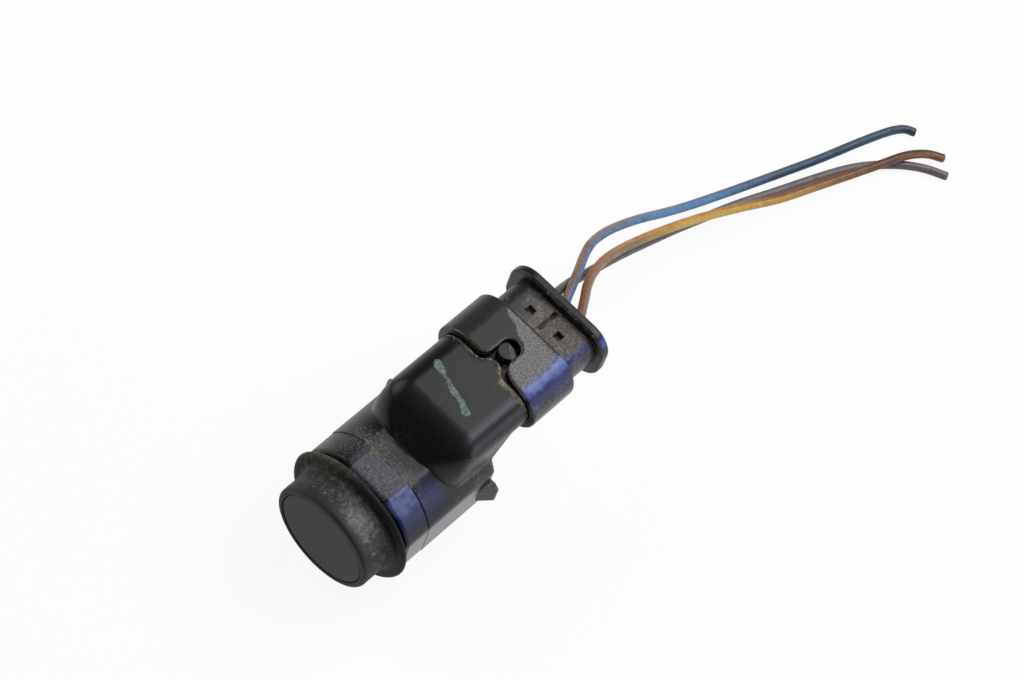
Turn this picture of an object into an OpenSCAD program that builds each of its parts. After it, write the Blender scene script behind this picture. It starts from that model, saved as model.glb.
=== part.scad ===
// Ultrasonic parking sensor with its plug and three cut wires, in millimetres.
// The barrel lies along Y with the sensing face towards -Y and the connector on top, +Z.
// The origin is on the barrel axis, at the middle of the round nose that goes through the bumper.

/* [Nose] */
// Diameter of the sensing face
face_d = 15.4; // [14.6:0.1:17]
// Thickness of the sensing face
face_t = 0.8; // [0.6:0.1:1.1]
// Thickness of the rim round the face
rim_t = 1.2; // [1.2:0.1:1.6]
// How far the cup steps in behind its rim
rim_step = 0.8; // [0.5:0.1:1.1]
// Wall of the cup
cup_wall = 1.1; // [0.8:0.1:1.4]
// Length of the rubber nose, from its lip to the flange
nose_len = 5.2; // [4.4:0.1:7]
// Wall of the rubber nose round the face
nose_wall = 1; // [0.8:0.1:1.4]
// How far the rubber lip stands proud of the face
lip = 0.1; // [0.1:0.05:0.4]
// Radius of the lip's outer edge
lip_round = 0.6; // [0.3:0.1:0.7]
// Fillet between nose and flange
nose_fillet = 0.8; // [0.3:0.1:1.2]
// How far the flange stands out from the nose
flange_reach = 2.25; // [1.6:0.05:3]
// Thickness of the flange
flange_t = 1.1; // [0.8:0.1:1.6]
// Wall of the rubber sleeve behind the flange
sleeve_rubber = 1; // [0.7:0.1:1.3]

/* [Piezo element] */
// Diameter of the ceramic disc
piezo_d = 7.6; // [5:0.1:9]
// Thickness of the ceramic disc
piezo_t = 0.5; // [0.3:0.1:0.8]
// Length of the foam plug
foam_len = 5; // [3:0.5:5.5]
// Diameter of the two leads
lead_d = 0.5; // [0.4:0.1:0.6]
// Distance between the two leads
lead_pitch = 3; // [2:0.5:4]

/* [Front ring] */
// Open gap between the flange and the ring
ring_gap = 0.5; // [0.2:0.1:0.8]
// Length of the ring
ring_len = 4.4; // [3.8:0.1:6]
// Thickness of the ring's front lip
ring_lip_t = 1; // [0.8:0.1:1.4]
// Chamfer on the ring's front edge
ring_chamfer = 0.4; // [0.2:0.1:0.6]
// How much smaller the ring is than the barrel, on the radius
ring_step = 0.12; // [0.05:0.01:0.2]

/* [Barrel] */
// Wall of the spigot that the ring is pushed on
spigot_wall = 0.9; // [0.7:0.1:1.2]
// Wall of the ring over the spigot, up to the barrel's radius
barrel_over = 1.65; // [1.4:0.05:2.2]
// Wall left at the side flats, over the spigot
flat_wall = 0.95; // [0.7:0.05:1.2]
// How much the flat on top takes off the barrel's radius
top_cut = 1; // [0.6:0.1:1.2]
// Length of the barrel behind the ring
barrel_len = 13.8; // [13:0.1:17]
// Wall of the barrel
barrel_wall = 1.4; // [1:0.1:1.8]
// Radius of the barrel's rear edge
rear_round = 0.9; // [0.4:0.1:1.2]
// Thickness of the inner shoulder that the cup rests on
shoulder_t = 1; // [0.8:0.1:1.4]
// Inner diameter of that shoulder
shoulder_d = 11; // [9.6:0.1:11.4]
// Thickness of the casting compound at the rear
cap_t = 1.6; // [1:0.1:2.4]
// How far that compound is set in from the rear end
cap_inset = 0.4; // [0.2:0.1:0.8]

/* [Side barb and lug] */
// Height of the side barb over its flat
barb_h = 1.7; // [1:0.1:2.2]
// Length of the side barb along the barrel
barb_len = 3; // [2:0.1:4]
// Width of the side barb
barb_w = 3.2; // [2:0.1:4]
// How far the side barb's middle lies under the barrel axis
barb_drop = 0.7; // [0:0.1:1.2]
// Height of the small lug over the left flat
lug_h = 0.7; // [0.4:0.1:1]
// Length of the small lug along the barrel
lug_len = 2.4; // [1.8:0.1:3]
// Width of the small lug
lug_w = 1.8; // [1:0.1:2.2]
// Height of the small lug's middle over the barrel axis
lug_z = 2.2; // [1.6:0.1:2.4]

/* [Circuit board] */
// Width of the board
board_w = 15; // [13:0.5:15.5]
// Thickness of the board
board_t = 1; // [0.8:0.1:1.6]
// Height of the board's top face over the barrel axis
board_z = 2; // [1:0.1:3]
// Diameter of the transformer's drum
coil_d = 5; // [4:0.1:5.4]
// Height of the transformer
coil_h = 4; // [3:0.1:4.6]
// Width and length of the control chip's body
chip_size = 4; // [3:0.1:4.4]
// Height of the control chip
chip_h = 1.3; // [0.9:0.1:1.8]

/* [Connector socket] */
// Height of the connector's axis over the barrel axis
socket_z = 10.2; // [9.8:0.1:11]
// Width of the bulge
bulge_w = 17; // [16:0.1:18]
// Height of the bulge's oval
bulge_h = 7; // [6.6:0.1:8]
// Distance from the ring to the foot of the bulge
bulge_setback = 3.4; // [2.6:0.1:3.8]
// Run of the bulge's front slope
slope_run = 4.4; // [3.6:0.1:4.8]
// Radius between the front slope and the top
slope_round = 4; // [2:0.5:5]
// Radius of the bulge's front corners, seen from above
foot_round = 4.4; // [3:0.1:5]
// Length of the bulge, from its foot to its rim
bulge_len = 16.4; // [16:0.1:19]
// Step from the bulge down to the socket collar
collar_step = 0.35; // [0.2:0.05:0.5]
// Gap between the end of the socket collar and the plug
collar_room = 0.5; // [0.3:0.1:1]
// Wall of the socket collar
collar_wall = 0.9; // [0.7:0.1:1.1]
// Depth of the socket below the bulge's rim
socket_sink = 0.8; // [0.4:0.1:2]
// Width of the contact pins
pin_w = 0.6; // [0.5:0.05:0.7]
// Distance between the contacts
pitch = 2.8; // [2.6:0.1:3]

/* [Latch] */
// Diameter of the latch nose on the collar
latch_d = 3.2; // [2.8:0.1:3.4]
// Height of the latch nose over the collar
latch_h = 1.7; // [1.4:0.1:2]
// Distance of the latch nose behind the rim
latch_back = 3.5; // [3.2:0.1:4]
// How far the latch lies to the right of the middle
latch_x = 0.3; // [0:0.1:0.6]
// How much narrower the notch's throat is than the latch nose
latch_hold = 0.2; // [0.1:0.05:0.4]
// Radius of the notch's front corners
mouth_round = 1.4; // [0.6:0.1:1.6]

/* [Plug] */
// Gap between the bulge's rim and the sleeve
sleeve_gap = 0.3; // [0.2:0.1:0.6]
// Gap between the collar and the inside of the sleeve, at the sides
sleeve_room = 0.3; // [0.2:0.05:0.5]
// Gap between the collar and the inside of the sleeve, above and below
sleeve_head = 0.6; // [0.4:0.05:0.8]
// Wall of the sleeve
sleeve_wall = 1.2; // [1:0.1:1.5]
// Length of the sleeve
sleeve_len = 8.4; // [8:0.1:11]
// Thickness of the sleeve's closed end
sleeve_end_t = 1.4; // [1:0.1:1.8]
// Width of the plug's body
body_w = 15.8; // [14.4:0.1:17]
// Top of the plug's body over the connector's axis
body_top = 2.3; // [2.2:0.1:2.8]
// Bottom of the plug's body under the connector's axis
body_drop = 4.2; // [3.6:0.1:4.6]
// Length of the plug's body
body_len = 6.4; // [6.2:0.1:8]
// Radius of the plug body's edges
body_round = 2.6; // [1.4:0.1:2.8]
// Width of the rear flange
tail_w = 18.8; // [17:0.1:21]
// Height of the rear flange
tail_h = 10.6; // [10:0.1:12]
// How far the rear flange's middle lies under the connector's axis
tail_drop = 1.5; // [1:0.1:1.8]
// Thickness of the rear flange
tail_t = 1.6; // [1.2:0.1:2]
// Radius of the rear flange's corners
tail_round = 4; // [3:0.1:4.8]
// Size of the two square pockets on the body
pocket_w = 1.2; // [0.8:0.1:2]
// Depth of the square pockets
pocket_deep = 0.9; // [0.4:0.1:1]
// Distance from the sleeve to the middle of the square pockets
pocket_back = 3.3; // [2.4:0.1:4]
// Width of the slot between the pockets
slot_w = 0.7; // [0.4:0.1:1]
// Depth of that slot
slot_deep = 0.5; // [0.3:0.1:0.5]
// Distance from the sleeve to the slot
slot_back = 2; // [1.4:0.1:2.2]
// Length of the slot
slot_len = 3.9; // [2:0.1:4]

/* [Plug inside] */
// Gap between the socket and the plug's tower
tower_gap = 0.2; // [0.1:0.05:0.3]
// Thickness of the plug seal
seal_t = 0.7; // [0.5:0.05:0.75]
// Length of the plug seal
seal_len = 2.4; // [1.6:0.1:3]
// Width and height of a terminal's box
box_w = 1.5; // [1.2:0.05:1.6]
// Length of a terminal's box
box_len = 5.6; // [5:0.1:6]
// Diameter of a terminal's crimp
crimp_d = 1.4; // [1.2:0.05:1.5]
// Length of the wire seal
mat_len = 2.2; // [1.6:0.1:2.4]
// Height of the wire seal
mat_h = 2.6; // [2.3:0.1:2.8]
// Thickness of the plate that holds the wire seal
plate_t = 1.2; // [0.8:0.1:1.4]
// Thickness of the terminal lock's prongs
prong_w = 0.7; // [0.5:0.05:0.8]

/* [Wires] */
// Diameter of a wire with its insulation
wire_d = 1.45; // [1.2:0.05:1.6]

/* [Hidden] */
$fn = 64;

// Clearance between pieces that are pushed into each other
fit = 0.05;
// Overshoot of a cut past the face that it opens
over = 0.5;
sides = [-1, 1];

// Slant of the bulge's side walls: how far it runs behind the barrel and under the bulge's oval
wall_run = 3.7;
wall_drop = 1.8;
// Length of the side barb's blunt tip, and its distance from the rear end
barb_tip = 0.4;
barb_lead = 0.1;
// Flat top of the latch nose behind its middle, and radius of the bulge's tongue in front of it
latch_flat = 0.2;
tongue_r = 1.7;
// How far the two leads lie on the board
lead_lap = 1.5;
// Width of the ledges under the board
ledge_w = 1.5;
// Distance of the pins from the board's end, their stubs under it and their length in the socket
pin_edge = 1.6;
pin_stub = 0.8;
pin_reach = 5.4;
// Free depth past a pin's tip, and free room round its leg
pin_room = 0.6;
shaft_room = 0.6;
// Distance of the large components from the board's edge, and gap to the row behind them
part_edge = 2;
part_gap = 0.6;
// Size of a capacitor and distance between two of them
cap_size = [1.6, 0.8, 0.8];
cap_pitch = 2.4;
// Terminal lock: length, height of its base, reach past the outer terminals, wall to the wire seal
lock_len = 1.8;
lock_base = 1.4;
lock_reach = 1.6;
lock_wall = 0.5;

// Radii, from the axis outwards
rim_r = face_d / 2;
cup_r = rim_r - rim_step;
cup_r0 = cup_r - cup_wall;
nose_r = rim_r + fit + nose_wall;
flange_r = nose_r + flange_reach;
rubber_r = cup_r + fit + sleeve_rubber;
spigot_r0 = rubber_r + fit;
spigot_r = spigot_r0 + spigot_wall;
ring_r0 = spigot_r + fit;
barrel_r = ring_r0 + barrel_over;
ring_r = barrel_r - ring_step;
flat_x = ring_r0 + flat_wall;
flat_z = barrel_r - top_cut;
bore_r = barrel_r - barrel_wall;
bore_x = flat_x - barrel_wall;
bore_z = flat_z - barrel_wall;

// Stations along Y, from the lip rearwards
nose_grip = (nose_len - lip_round - nose_fillet) / 2;
lip_y = -nose_grip - lip_round;
face_y = lip_y + lip;
flange_y = nose_grip + nose_fillet;
ring_y = flange_y + flange_t + ring_gap;
seam_y = ring_y + ring_len;
spigot_y = ring_y + ring_lip_t + fit;
rubber_y = seam_y - shoulder_t;
rear_y = seam_y + barrel_len;
foot_y = seam_y + bulge_setback;
rim_y = foot_y + bulge_len;
sleeve_y = rim_y + sleeve_gap;
body_y = sleeve_y + sleeve_len;
tail_y = body_y + body_len;
end_y = tail_y + tail_t;

// Connector half widths and half heights
bulge_hw = bulge_w / 2;
bulge_hh = bulge_h / 2;
collar_hw = bulge_hw - collar_step;
collar_hh = bulge_hh - collar_step;
socket_hw = collar_hw - collar_wall;
socket_hh = collar_hh - collar_wall;
tower_hw = socket_hw - tower_gap;
tower_hh = socket_hh - tower_gap;
seal_hw = socket_hw - fit;
seal_hh = socket_hh - fit;
neck_hw = seal_hw - seal_t - fit;
neck_hh = seal_hh - seal_t - fit;
sleeve_hw0 = collar_hw + sleeve_room;
sleeve_hh0 = collar_hh + sleeve_head;
sleeve_hw = sleeve_hw0 + sleeve_wall;
sleeve_hh = sleeve_hh0 + sleeve_wall;
body_hw = body_w / 2;
mat_hw = pitch + mat_h / 2;

// Connector stations along Y
socket_y = rim_y - socket_sink;
well_y = body_y - sleeve_end_t;
collar_y = well_y - collar_room;
tower_y = socket_y + 2 * tower_gap;
seal_y = well_y - seal_len - fit;
box_y = tower_y + 2 * tower_gap;
crimp_y = box_y + box_len;
plate_y = end_y - plate_t;
mat_y = plate_y - fit - mat_len;
crimp_end = mat_y - 3 * fit;
latch_y = rim_y + latch_back;
latch_r = latch_d / 2;
notch_r = latch_r + 3 * fit;
throat_w = latch_d - latch_hold;
lock_y = mat_y - lock_wall - lock_len;

// Piezo element, board and pins
piezo_y = face_y + face_t;
foam_y = piezo_y + piezo_t + fit;
lead_z = board_z + lead_d / 2;
board_y = seam_y + fit;
board_end = rear_y - cap_inset - cap_t - 4 * fit;
pin_y = board_end - pin_edge;
pin_tail = board_z - board_t - pin_stub;
pin_tip = socket_y + pin_reach;
chip_x = board_w / 4;
part_y = board_y + part_edge + coil_d / 2;
row_y = part_y + coil_d / 2 + part_gap;

// Lay of the wires behind the plug, each from its hole: down and along the table, as they really lie
grey_lay = [
    [0, -1.4, 0], [0, 0.6, 0], [-0.3, 2.8, -0.8], [-0.6, 5.4, -2.4], [-0.7, 8.3, -4],
    [-0.7, 12.3, -6], [-0.7, 16.8, -8.2], [-0.6, 21.8, -10.8], [-0.3, 26.8, -13.2],
    [0.2, 32.8, -15.8], [1.2, 39.8, -18.3], [2.8, 47, -19.8], [5, 53.6, -20.4], [7.5, 60.4, -20.4],
    [9.8, 66, -20.4], [12, 69.8, -20.4], [14.8, 73.4, -20.4], [18, 76.2, -20.4], [21.5, 78.1, -20.4]
];
blue_lay = [
    [0, -1.4, 0], [0, 0.1, 0], [-0.35, 0.8, 0], [-1.15, 1.9, -0.1], [-2.4, 4.7, -0.5],
    [-3.7, 7.6, -1.3], [-5.1, 10.6, -2.5], [-6.3, 14, -4], [-6.8, 18, -6], [-6.7, 22.5, -8.4],
    [-6.1, 27.5, -11], [-5.2, 32.2, -13.4], [-4.2, 37.5, -15.8], [-3, 43.5, -17.9],
    [-1.6, 49.5, -19.4], [0.4, 56.5, -20.2], [2.8, 64, -20.4], [5, 71.5, -20.4], [6.8, 76.9, -20.4],
    [8.2, 79.4, -20.4], [9.8, 80.4, -20.4]
];
yellow_lay = [
    [0, -1.4, 0], [0, 0.1, 0], [-0.3, 0.8, 0], [-1, 2, -0.1], [-2.4, 4.3, -0.5], [-3.9, 6.8, -1.2],
    [-5.05, 9.7, -2.3], [-5.8, 13.2, -3.8], [-6, 17.1, -5.5], [-5.8, 21.6, -7.6],
    [-5.3, 26.5, -9.7], [-4.5, 32, -12], [-3.2, 38, -14.2], [-1.2, 44.6, -16.2], [1.4, 51.6, -17.7],
    [3.8, 59, -18.4], [6, 65.3, -18.6], [7.7, 70.1, -18.6], [9.3, 74.7, -18.8], [11.1, 78.3, -19.8],
    [13.3, 80.3, -20.4]
];
wire_sides = 8;

// Rounded rectangle about the middle, with half width, half height and corner radius
module oval(hw, hh, r) {
    square([2 * (hw - r), 2 * hh], center = true);
    square([2 * hw, 2 * (hh - r)], center = true);
    for (x = sides, y = sides) translate([x * (hw - r), y * (hh - r)]) circle(r);
}

// Oval with nearly half-round ends
module slim_oval(hw, hh) {
    oval(hw, hh, hh - 2 * fit);
}

// Corner of a square less its inscribed arc: added it is a fillet, taken away it rounds an edge
module nook(x, y, r, dx, dy) {
    translate([x, y]) difference() {
        translate([dx > 0 ? 0 : -r, dy > 0 ? 0 : -r]) square(r);
        translate([dx * r, dy * r]) circle(r);
    }
}

// Band of a revolved profile between two radii and two stations
module band(r0, r1, y0, y1) {
    translate([r0, y0]) square([r1 - r0, y1 - y0]);
}

// Turns a profile of radius and station round the Y axis
module turned() {
    rotate([-90, 0, 0]) rotate_extrude() children();
}

// Carries a section in X and Z along Y, from one station to another
module along(y0, y1) {
    translate([0, y1, 0]) rotate([90, 0, 0]) linear_extrude(y1 - y0) children();
}

// The same, on the connector's axis
module on_socket(y0, y1) {
    translate([0, 0, socket_z]) along(y0, y1) children();
}

// Carries a side view in Y and Z across X, about the middle
module across(w) {
    translate([-w / 2, 0, 0]) rotate([90, 0, 90]) linear_extrude(w) children();
}

// Box between two corners
module block(a, b) {
    translate(a) cube(b - a);
}

// Barrel section: a circle with a flat on top and on both sides
module barrel_section(r, x, z) {
    intersection() {
        circle(r);
        translate([-x, -r]) square([2 * x, r + z]);
    }
}

module membrane_cup() {
    color("#424144") turned() {
        band(0, rim_r, face_y, face_y + face_t);
        band(cup_r0, rim_r, face_y + face_t, face_y + rim_t);
        band(cup_r0, cup_r, face_y + rim_t, rubber_y - fit);
    }
}

module piezo_disc() {
    color("#d8cfb8") turned() band(0, piezo_d / 2, piezo_y, piezo_y + piezo_t);
}

// The two leads, widened by a clearance where they are used as a cut
module leads(room, y0, y1) {
    for (x = sides) translate([x * lead_pitch / 2, 0, lead_z]) along(y0, y1) circle(lead_d / 2 + room);
}

module damping_foam() {
    color("#c9c4b4") difference() {
        turned() band(0, cup_r0 - fit, foam_y, foam_y + foam_len);
        leads(fit, foam_y - over, foam_y + foam_len + over);
    }
}

module piezo_leads() {
    color("#b06a3a") leads(0, piezo_y + piezo_t, board_y + lead_lap);
}

module decoupling_ring() {
    groove_y = face_y + rim_t + fit;
    color("#35332f") turned() {
        difference() {
            band(rim_r + fit, nose_r, lip_y, flange_y);
            nook(nose_r, lip_y, lip_round, -1, 1);
        }
        band(cup_r + fit, rim_r + fit, groove_y, flange_y);
        nook(nose_r, flange_y, nose_fillet, 1, -1);
        band(cup_r + fit, flange_r - flange_t / 2, flange_y, flange_y + flange_t);
        translate([flange_r - flange_t / 2, flange_y + flange_t / 2]) circle(flange_t / 2);
        band(cup_r + fit, rubber_r, flange_y + flange_t, rubber_y - fit);
    }
}

module front_ring() {
    color("#3a3b4b") difference() {
        intersection() {
            along(ring_y, seam_y) barrel_section(ring_r, flat_x, flat_z);
            turned() difference() {
                band(0, barrel_r, ring_y, seam_y);
                translate([ring_r, ring_y]) rotate(45) square(ring_chamfer * sqrt(2), center = true);
            }
        }
        turned() {
            band(0, rubber_r + fit, ring_y - over, seam_y + over);
            band(0, ring_r0, ring_y + ring_lip_t, seam_y + over);
        }
    }
}

// Bulge with a sloped front, rounded corners and side walls that end in a slant behind the barrel
module bulge_body() {
    top = socket_z + bulge_hh;
    intersection() {
        along(foot_y, rim_y) {
            translate([0, socket_z]) slim_oval(bulge_hw, bulge_hh);
            translate([-bulge_hw, 0]) square([2 * bulge_hw, socket_z]);
        }
        across(2 * bulge_w) bulge_side(top);
        translate([0, 0, -over]) linear_extrude(top + 2 * over) bulge_plan();
    }
    on_socket(rear_y - barrel_wall, rim_y) slim_oval(bulge_hw, bulge_hh);
}

// Side view of the bulge: front slope with a rounded top edge, and the slanted end of its walls
module bulge_side(top) {
    crest_y = foot_y + slope_run;
    rise = top - flat_z;
    lean = atan2(rise, slope_run);
    round_back = slope_round * tan(lean / 2);
    difference() {
        polygon([
            [foot_y, flat_z - over], [foot_y, flat_z], [crest_y, top], [rim_y, top],
            [rim_y, socket_z], [rear_y + wall_run, socket_z], [rear_y, socket_z - bulge_hh - wall_drop],
            [rear_y - over, 0], [foot_y + 2 * over, 0]
        ]);
        difference() {
            polygon([
                [crest_y - round_back * cos(lean), top - round_back * sin(lean)],
                [crest_y - over, top + over],
                [crest_y + round_back, top + over],
                [crest_y + round_back, top]
            ]);
            translate([crest_y + round_back, top - slope_round]) circle(slope_round);
            translate([foot_y, 0]) square([slope_run / 2, flat_z]);
        }
    }
}

// Bulge seen from above, with rounded front corners
module bulge_plan() {
    translate([-bulge_hw, foot_y]) difference() {
        square([bulge_w, bulge_len]);
        nook(0, 0, foot_round, 1, 1);
        nook(bulge_w, 0, foot_round, -1, 1);
    }
}

// Ramped barb on a side flat, near the rear end
module side_barb(side, h, length, w, z) {
    root_x = side * (flat_x - over);
    foot_x = side * flat_x;
    tip_x = side * (flat_x + h);
    heel_x = side * (flat_x + h / 3);
    back_y = rear_y - barb_lead;
    translate([0, 0, z - w / 2]) linear_extrude(w) polygon([
        [root_x, back_y - length], [foot_x, back_y - length],
        [tip_x, back_y - 2 * barb_tip], [tip_x, back_y - barb_tip],
        [heel_x, back_y], [root_x, back_y]
    ]);
}

// Round latch nose on top of the collar, with a ramp towards the plug
module latch_nose() {
    top = socket_z + collar_hh;
    translate([latch_x, 0, 0]) {
        intersection() {
            translate([0, latch_y, top - over]) cylinder(r = latch_r, h = latch_h + over);
            across(2 * latch_d) polygon([
                [latch_y - latch_r, top - over], [latch_y - latch_r, top + latch_h],
                [latch_y + latch_flat, top + latch_h], [latch_y + latch_r, top + latch_h / 3],
                [latch_y + latch_r, top - over]
            ]);
        }
        translate([0, rim_y, top - over]) cylinder(r = tongue_r, h = bulge_hh - collar_hh + over);
    }
}

// Hollow of the barrel, open to the rear
module barrel_hollow() {
    along(seam_y, rear_y + over) barrel_section(bore_r, bore_x, bore_z);
    turned() {
        band(0, spigot_r0, spigot_y - over, rubber_y);
        band(0, shoulder_d / 2, rubber_y - over, seam_y + over);
    }
}

// Ledges along the hollow that carry the board
module board_ledges() {
    inner_x = board_w / 2 - ledge_w;
    outer_x = bore_x + over;
    for (x = sides) intersection() {
        along(seam_y, board_end) barrel_section(bore_r + over, outer_x, bore_z);
        translate([x * (inner_x + outer_x) / 2, (seam_y + board_end) / 2, board_z - board_t - ledge_w / 2])
            cube([outer_x - inner_x, board_end - seam_y, ledge_w], center = true);
    }
}

module housing() {
    color("#3c3b3d") {
        difference() {
            union() {
                intersection() {
                    along(seam_y, rear_y) barrel_section(barrel_r, flat_x, flat_z);
                    turned() difference() {
                        band(0, barrel_r + over, seam_y, rear_y);
                        nook(barrel_r, rear_y, rear_round, -1, -1);
                    }
                }
                turned() band(0, spigot_r, spigot_y, seam_y);
                bulge_body();
                on_socket(rim_y - over, collar_y) slim_oval(collar_hw, collar_hh);
                latch_nose();
                side_barb(1, barb_h, barb_len, barb_w, -barb_drop);
                side_barb(-1, lug_h, lug_len, lug_w, lug_z);
            }
            barrel_hollow();
            on_socket(socket_y, collar_y + over) slim_oval(socket_hw, socket_hh);
            pin_shaft();
            for (i = [-1 : 1]) contact_pin(i, fit);
        }
        board_ledges();
    }
}

// Shaft over the board for the upright legs of the pins
module pin_shaft() {
    leg = pin_w / 2 + shaft_room;
    block([-pitch - leg, pin_y - leg, bore_z - over], [pitch + leg, pin_y + leg, socket_z + leg]);
}

// Bent pin: up from the board, then rearwards into the socket
module contact_pin(i, room) {
    h = pin_w / 2 + room;
    translate([i * pitch, 0, 0]) {
        block([-h, pin_y - h, pin_tail], [h, pin_y + h, socket_z + h]);
        block([-h, pin_y - h, socket_z - h], [h, pin_tip + room, socket_z + h]);
    }
}

module contact_pin_left() { color("#c8b27a") contact_pin(-1, 0); }
module contact_pin_middle() { color("#c8b27a") contact_pin(0, 0); }
module contact_pin_right() { color("#c8b27a") contact_pin(1, 0); }

module potting_cap() {
    color("#1e1d1e") along(rear_y - cap_inset - cap_t, rear_y - cap_inset)
        barrel_section(bore_r - fit, bore_x - fit, bore_z - fit);
}

module circuit_board() {
    hole_r = pin_w / sqrt(2) + fit;
    color("#2f6b45") difference() {
        block([-board_w / 2, board_y, board_z - board_t], [board_w / 2, board_end, board_z]);
        for (i = [-1 : 1]) translate([i * pitch, pin_y, board_z - board_t - over])
            cylinder(r = hole_r, h = board_t + 2 * over);
    }
}

module control_chip() {
    lead_n = 5;
    lead_w = chip_size / (2 * lead_n);
    foot = 0.9;
    color("#26262a") translate([chip_x, part_y, board_z]) {
        translate([-chip_size / 2, -chip_size / 2, lead_w / 2]) cube([chip_size, chip_size, chip_h]);
        for (s = sides, i = [0 : lead_n - 1])
            translate([(i + 0.5 - lead_n / 2) * 2 * lead_w, s * chip_size / 2, lead_w / 2])
                cube([lead_w, 2 * foot, lead_w], center = true);
    }
}

module transformer() {
    base = 0.8;
    edge = 0.5;
    color("#6d4a2c") translate([-chip_x, part_y, board_z]) {
        translate([-coil_d / 2, -coil_d / 2, 0]) cube([coil_d, coil_d, base]);
        cylinder(d = coil_d - 2 * edge, h = coil_h);
        translate([0, 0, coil_h - base]) cylinder(d = coil_d, h = base);
    }
}

module capacitors() {
    color("#9a8468") for (i = [-2 : 2])
        translate([i * cap_pitch - cap_size[0] / 2, row_y, board_z]) cube(cap_size);
}

// Keyhole notch in the top of the sleeve, seen from above
module keyhole() {
    w = throat_w / 2;
    translate([latch_x, 0]) {
        translate([0, latch_y]) circle(notch_r);
        translate([-w, sleeve_y - over]) square([throat_w, latch_y - sleeve_y + over]);
        for (x = sides) nook(x * w, sleeve_y, mouth_round, x, 1);
    }
}

module plug_housing() {
    tail_z = socket_z - tail_drop;
    color("#38373a") difference() {
        union() {
            on_socket(sleeve_y, body_y) slim_oval(sleeve_hw, sleeve_hh);
            translate([0, 0, socket_z + (body_top - body_drop) / 2]) along(body_y - over, tail_y + over)
                oval(body_hw, (body_top + body_drop) / 2, body_round);
            translate([0, 0, tail_z]) along(tail_y, end_y) oval(tail_w / 2, tail_h / 2, tail_round);
        }
        difference() {
            on_socket(sleeve_y - over, well_y) slim_oval(sleeve_hw0, sleeve_hh0);
            on_socket(tower_y, well_y + over) slim_oval(neck_hw, neck_hh);
            on_socket(tower_y, seal_y - fit) slim_oval(tower_hw, tower_hh);
        }
        translate([0, 0, socket_z + collar_hh]) linear_extrude(sleeve_hh) keyhole();
        for (i = [-1 : 1]) terminal_cavity(i);
        on_socket(mat_y - fit, end_y + over) slim_oval(mat_hw + fit, mat_h / 2 + fit);
        lock_shape(fit, over);
        for (x = sides) translate([x * pitch, body_y + pocket_back, socket_z + body_top])
            cube([pocket_w, pocket_w, 2 * pocket_deep], center = true);
        block([-slot_w / 2, body_y + slot_back, socket_z + body_top - slot_deep],
              [slot_w / 2, body_y + slot_back + slot_len, socket_z + body_top + over]);
    }
}

// Room for one terminal in the plug, from the tower's front to the wire seal
module terminal_cavity(i) {
    translate([i * pitch, 0, 0]) {
        on_socket(box_y - fit, crimp_y + fit) square(box_w + 2 * fit, center = true);
        on_socket(tower_y - over, box_y) square(pin_w + 4 * fit, center = true);
        on_socket(crimp_y, mat_y) circle(d = max(crimp_d, wire_d) + 2 * fit);
    }
}

// Crimped contact: a box that takes the pin, and a round crimp on the wire
module terminal(i) {
    color("#b9b6ad") translate([i * pitch, 0, 0]) difference() {
        union() {
            on_socket(box_y, crimp_y) square(box_w, center = true);
            on_socket(crimp_y - fit, crimp_end) circle(d = crimp_d);
        }
        on_socket(box_y - over, pin_tip + pin_room) square(pin_w + 2 * fit, center = true);
    }
}

module terminal_left() { terminal(-1); }
module terminal_middle() { terminal(0); }
module terminal_right() { terminal(1); }

module plug_seal() {
    color("#7a3a34") on_socket(seal_y, seal_y + seal_len) difference() {
        slim_oval(seal_hw, seal_hh);
        slim_oval(neck_hw + fit, neck_hh + fit);
    }
}

// Comb that is pushed in from below, widened by a clearance where it is used as a cut
module lock_shape(room, below) {
    hw = pitch + lock_reach + room;
    pw = prong_w / 2 + room;
    z0 = socket_z - body_drop;
    y0 = lock_y - room;
    y1 = lock_y + lock_len + room;
    block([-hw, y0, z0 - below], [hw, y1, z0 + lock_base + room]);
    for (x = sides) block([x * pitch / 2 - pw, y0, z0], [x * pitch / 2 + pw, y1, socket_z + room]);
}

module terminal_lock() { color("#6b4d8a") lock_shape(0, 0); }

// Section of the wire seal and its plate: an oval with three holes
module mat_section(room) {
    difference() {
        slim_oval(mat_hw, mat_h / 2);
        for (i = [-1 : 1]) translate([i * pitch, 0]) circle(d = wire_d + 2 * room);
    }
}

module wire_seal() { color("#8a5a3c") on_socket(mat_y, mat_y + mat_len) mat_section(fit); }

module seal_retainer() { color("#2b2a2c") on_socket(plate_y, end_y) mat_section(2 * fit); }

// Route of a wire: from its crimp straight through the wire seal, then along its lay
function route(i, lay) = concat(
    [[i * pitch, mat_y - fit, socket_z]],
    [for (p = lay) p + [i * pitch, end_y, socket_z]]
);
function unit(v) = v / norm(v);
function heading(p, i) = unit(p[min(i + 1, len(p) - 1)] - p[max(i - 1, 0)]);
function ring_point(p, i, k) =
    let (t = heading(p, i), side = unit(cross(t, [0, 0, 1])), up = cross(side, t))
    let (a = 360 * (k + 0.5) / wire_sides)
    p[i] + wire_d / 2 * (cos(a) * side + sin(a) * up);

// Tube of few sides along a path
module wire(path) {
    n = len(path);
    s = wire_sides;
    points = [for (i = [0 : n - 1], k = [0 : s - 1]) ring_point(path, i, k)];
    skin = [for (i = [0 : n - 2], k = [0 : s - 1])
        let (a = i * s + k, b = i * s + (k + 1) % s)
        each [[a, b, a + s], [b, b + s, a + s]]];
    first = [for (k = [s - 1 : -1 : 0]) k];
    last = [for (k = [0 : s - 1]) (n - 1) * s + k];
    polyhedron(points, concat([first], skin, [last]));
}

module wire_grey() { color("#5b5557") wire(route(-1, grey_lay)); }
module wire_blue() { color("#6c93bf") wire(route(0, blue_lay)); }
module wire_yellow() { color("#ccaa55") wire(route(1, yellow_lay)); }

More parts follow.
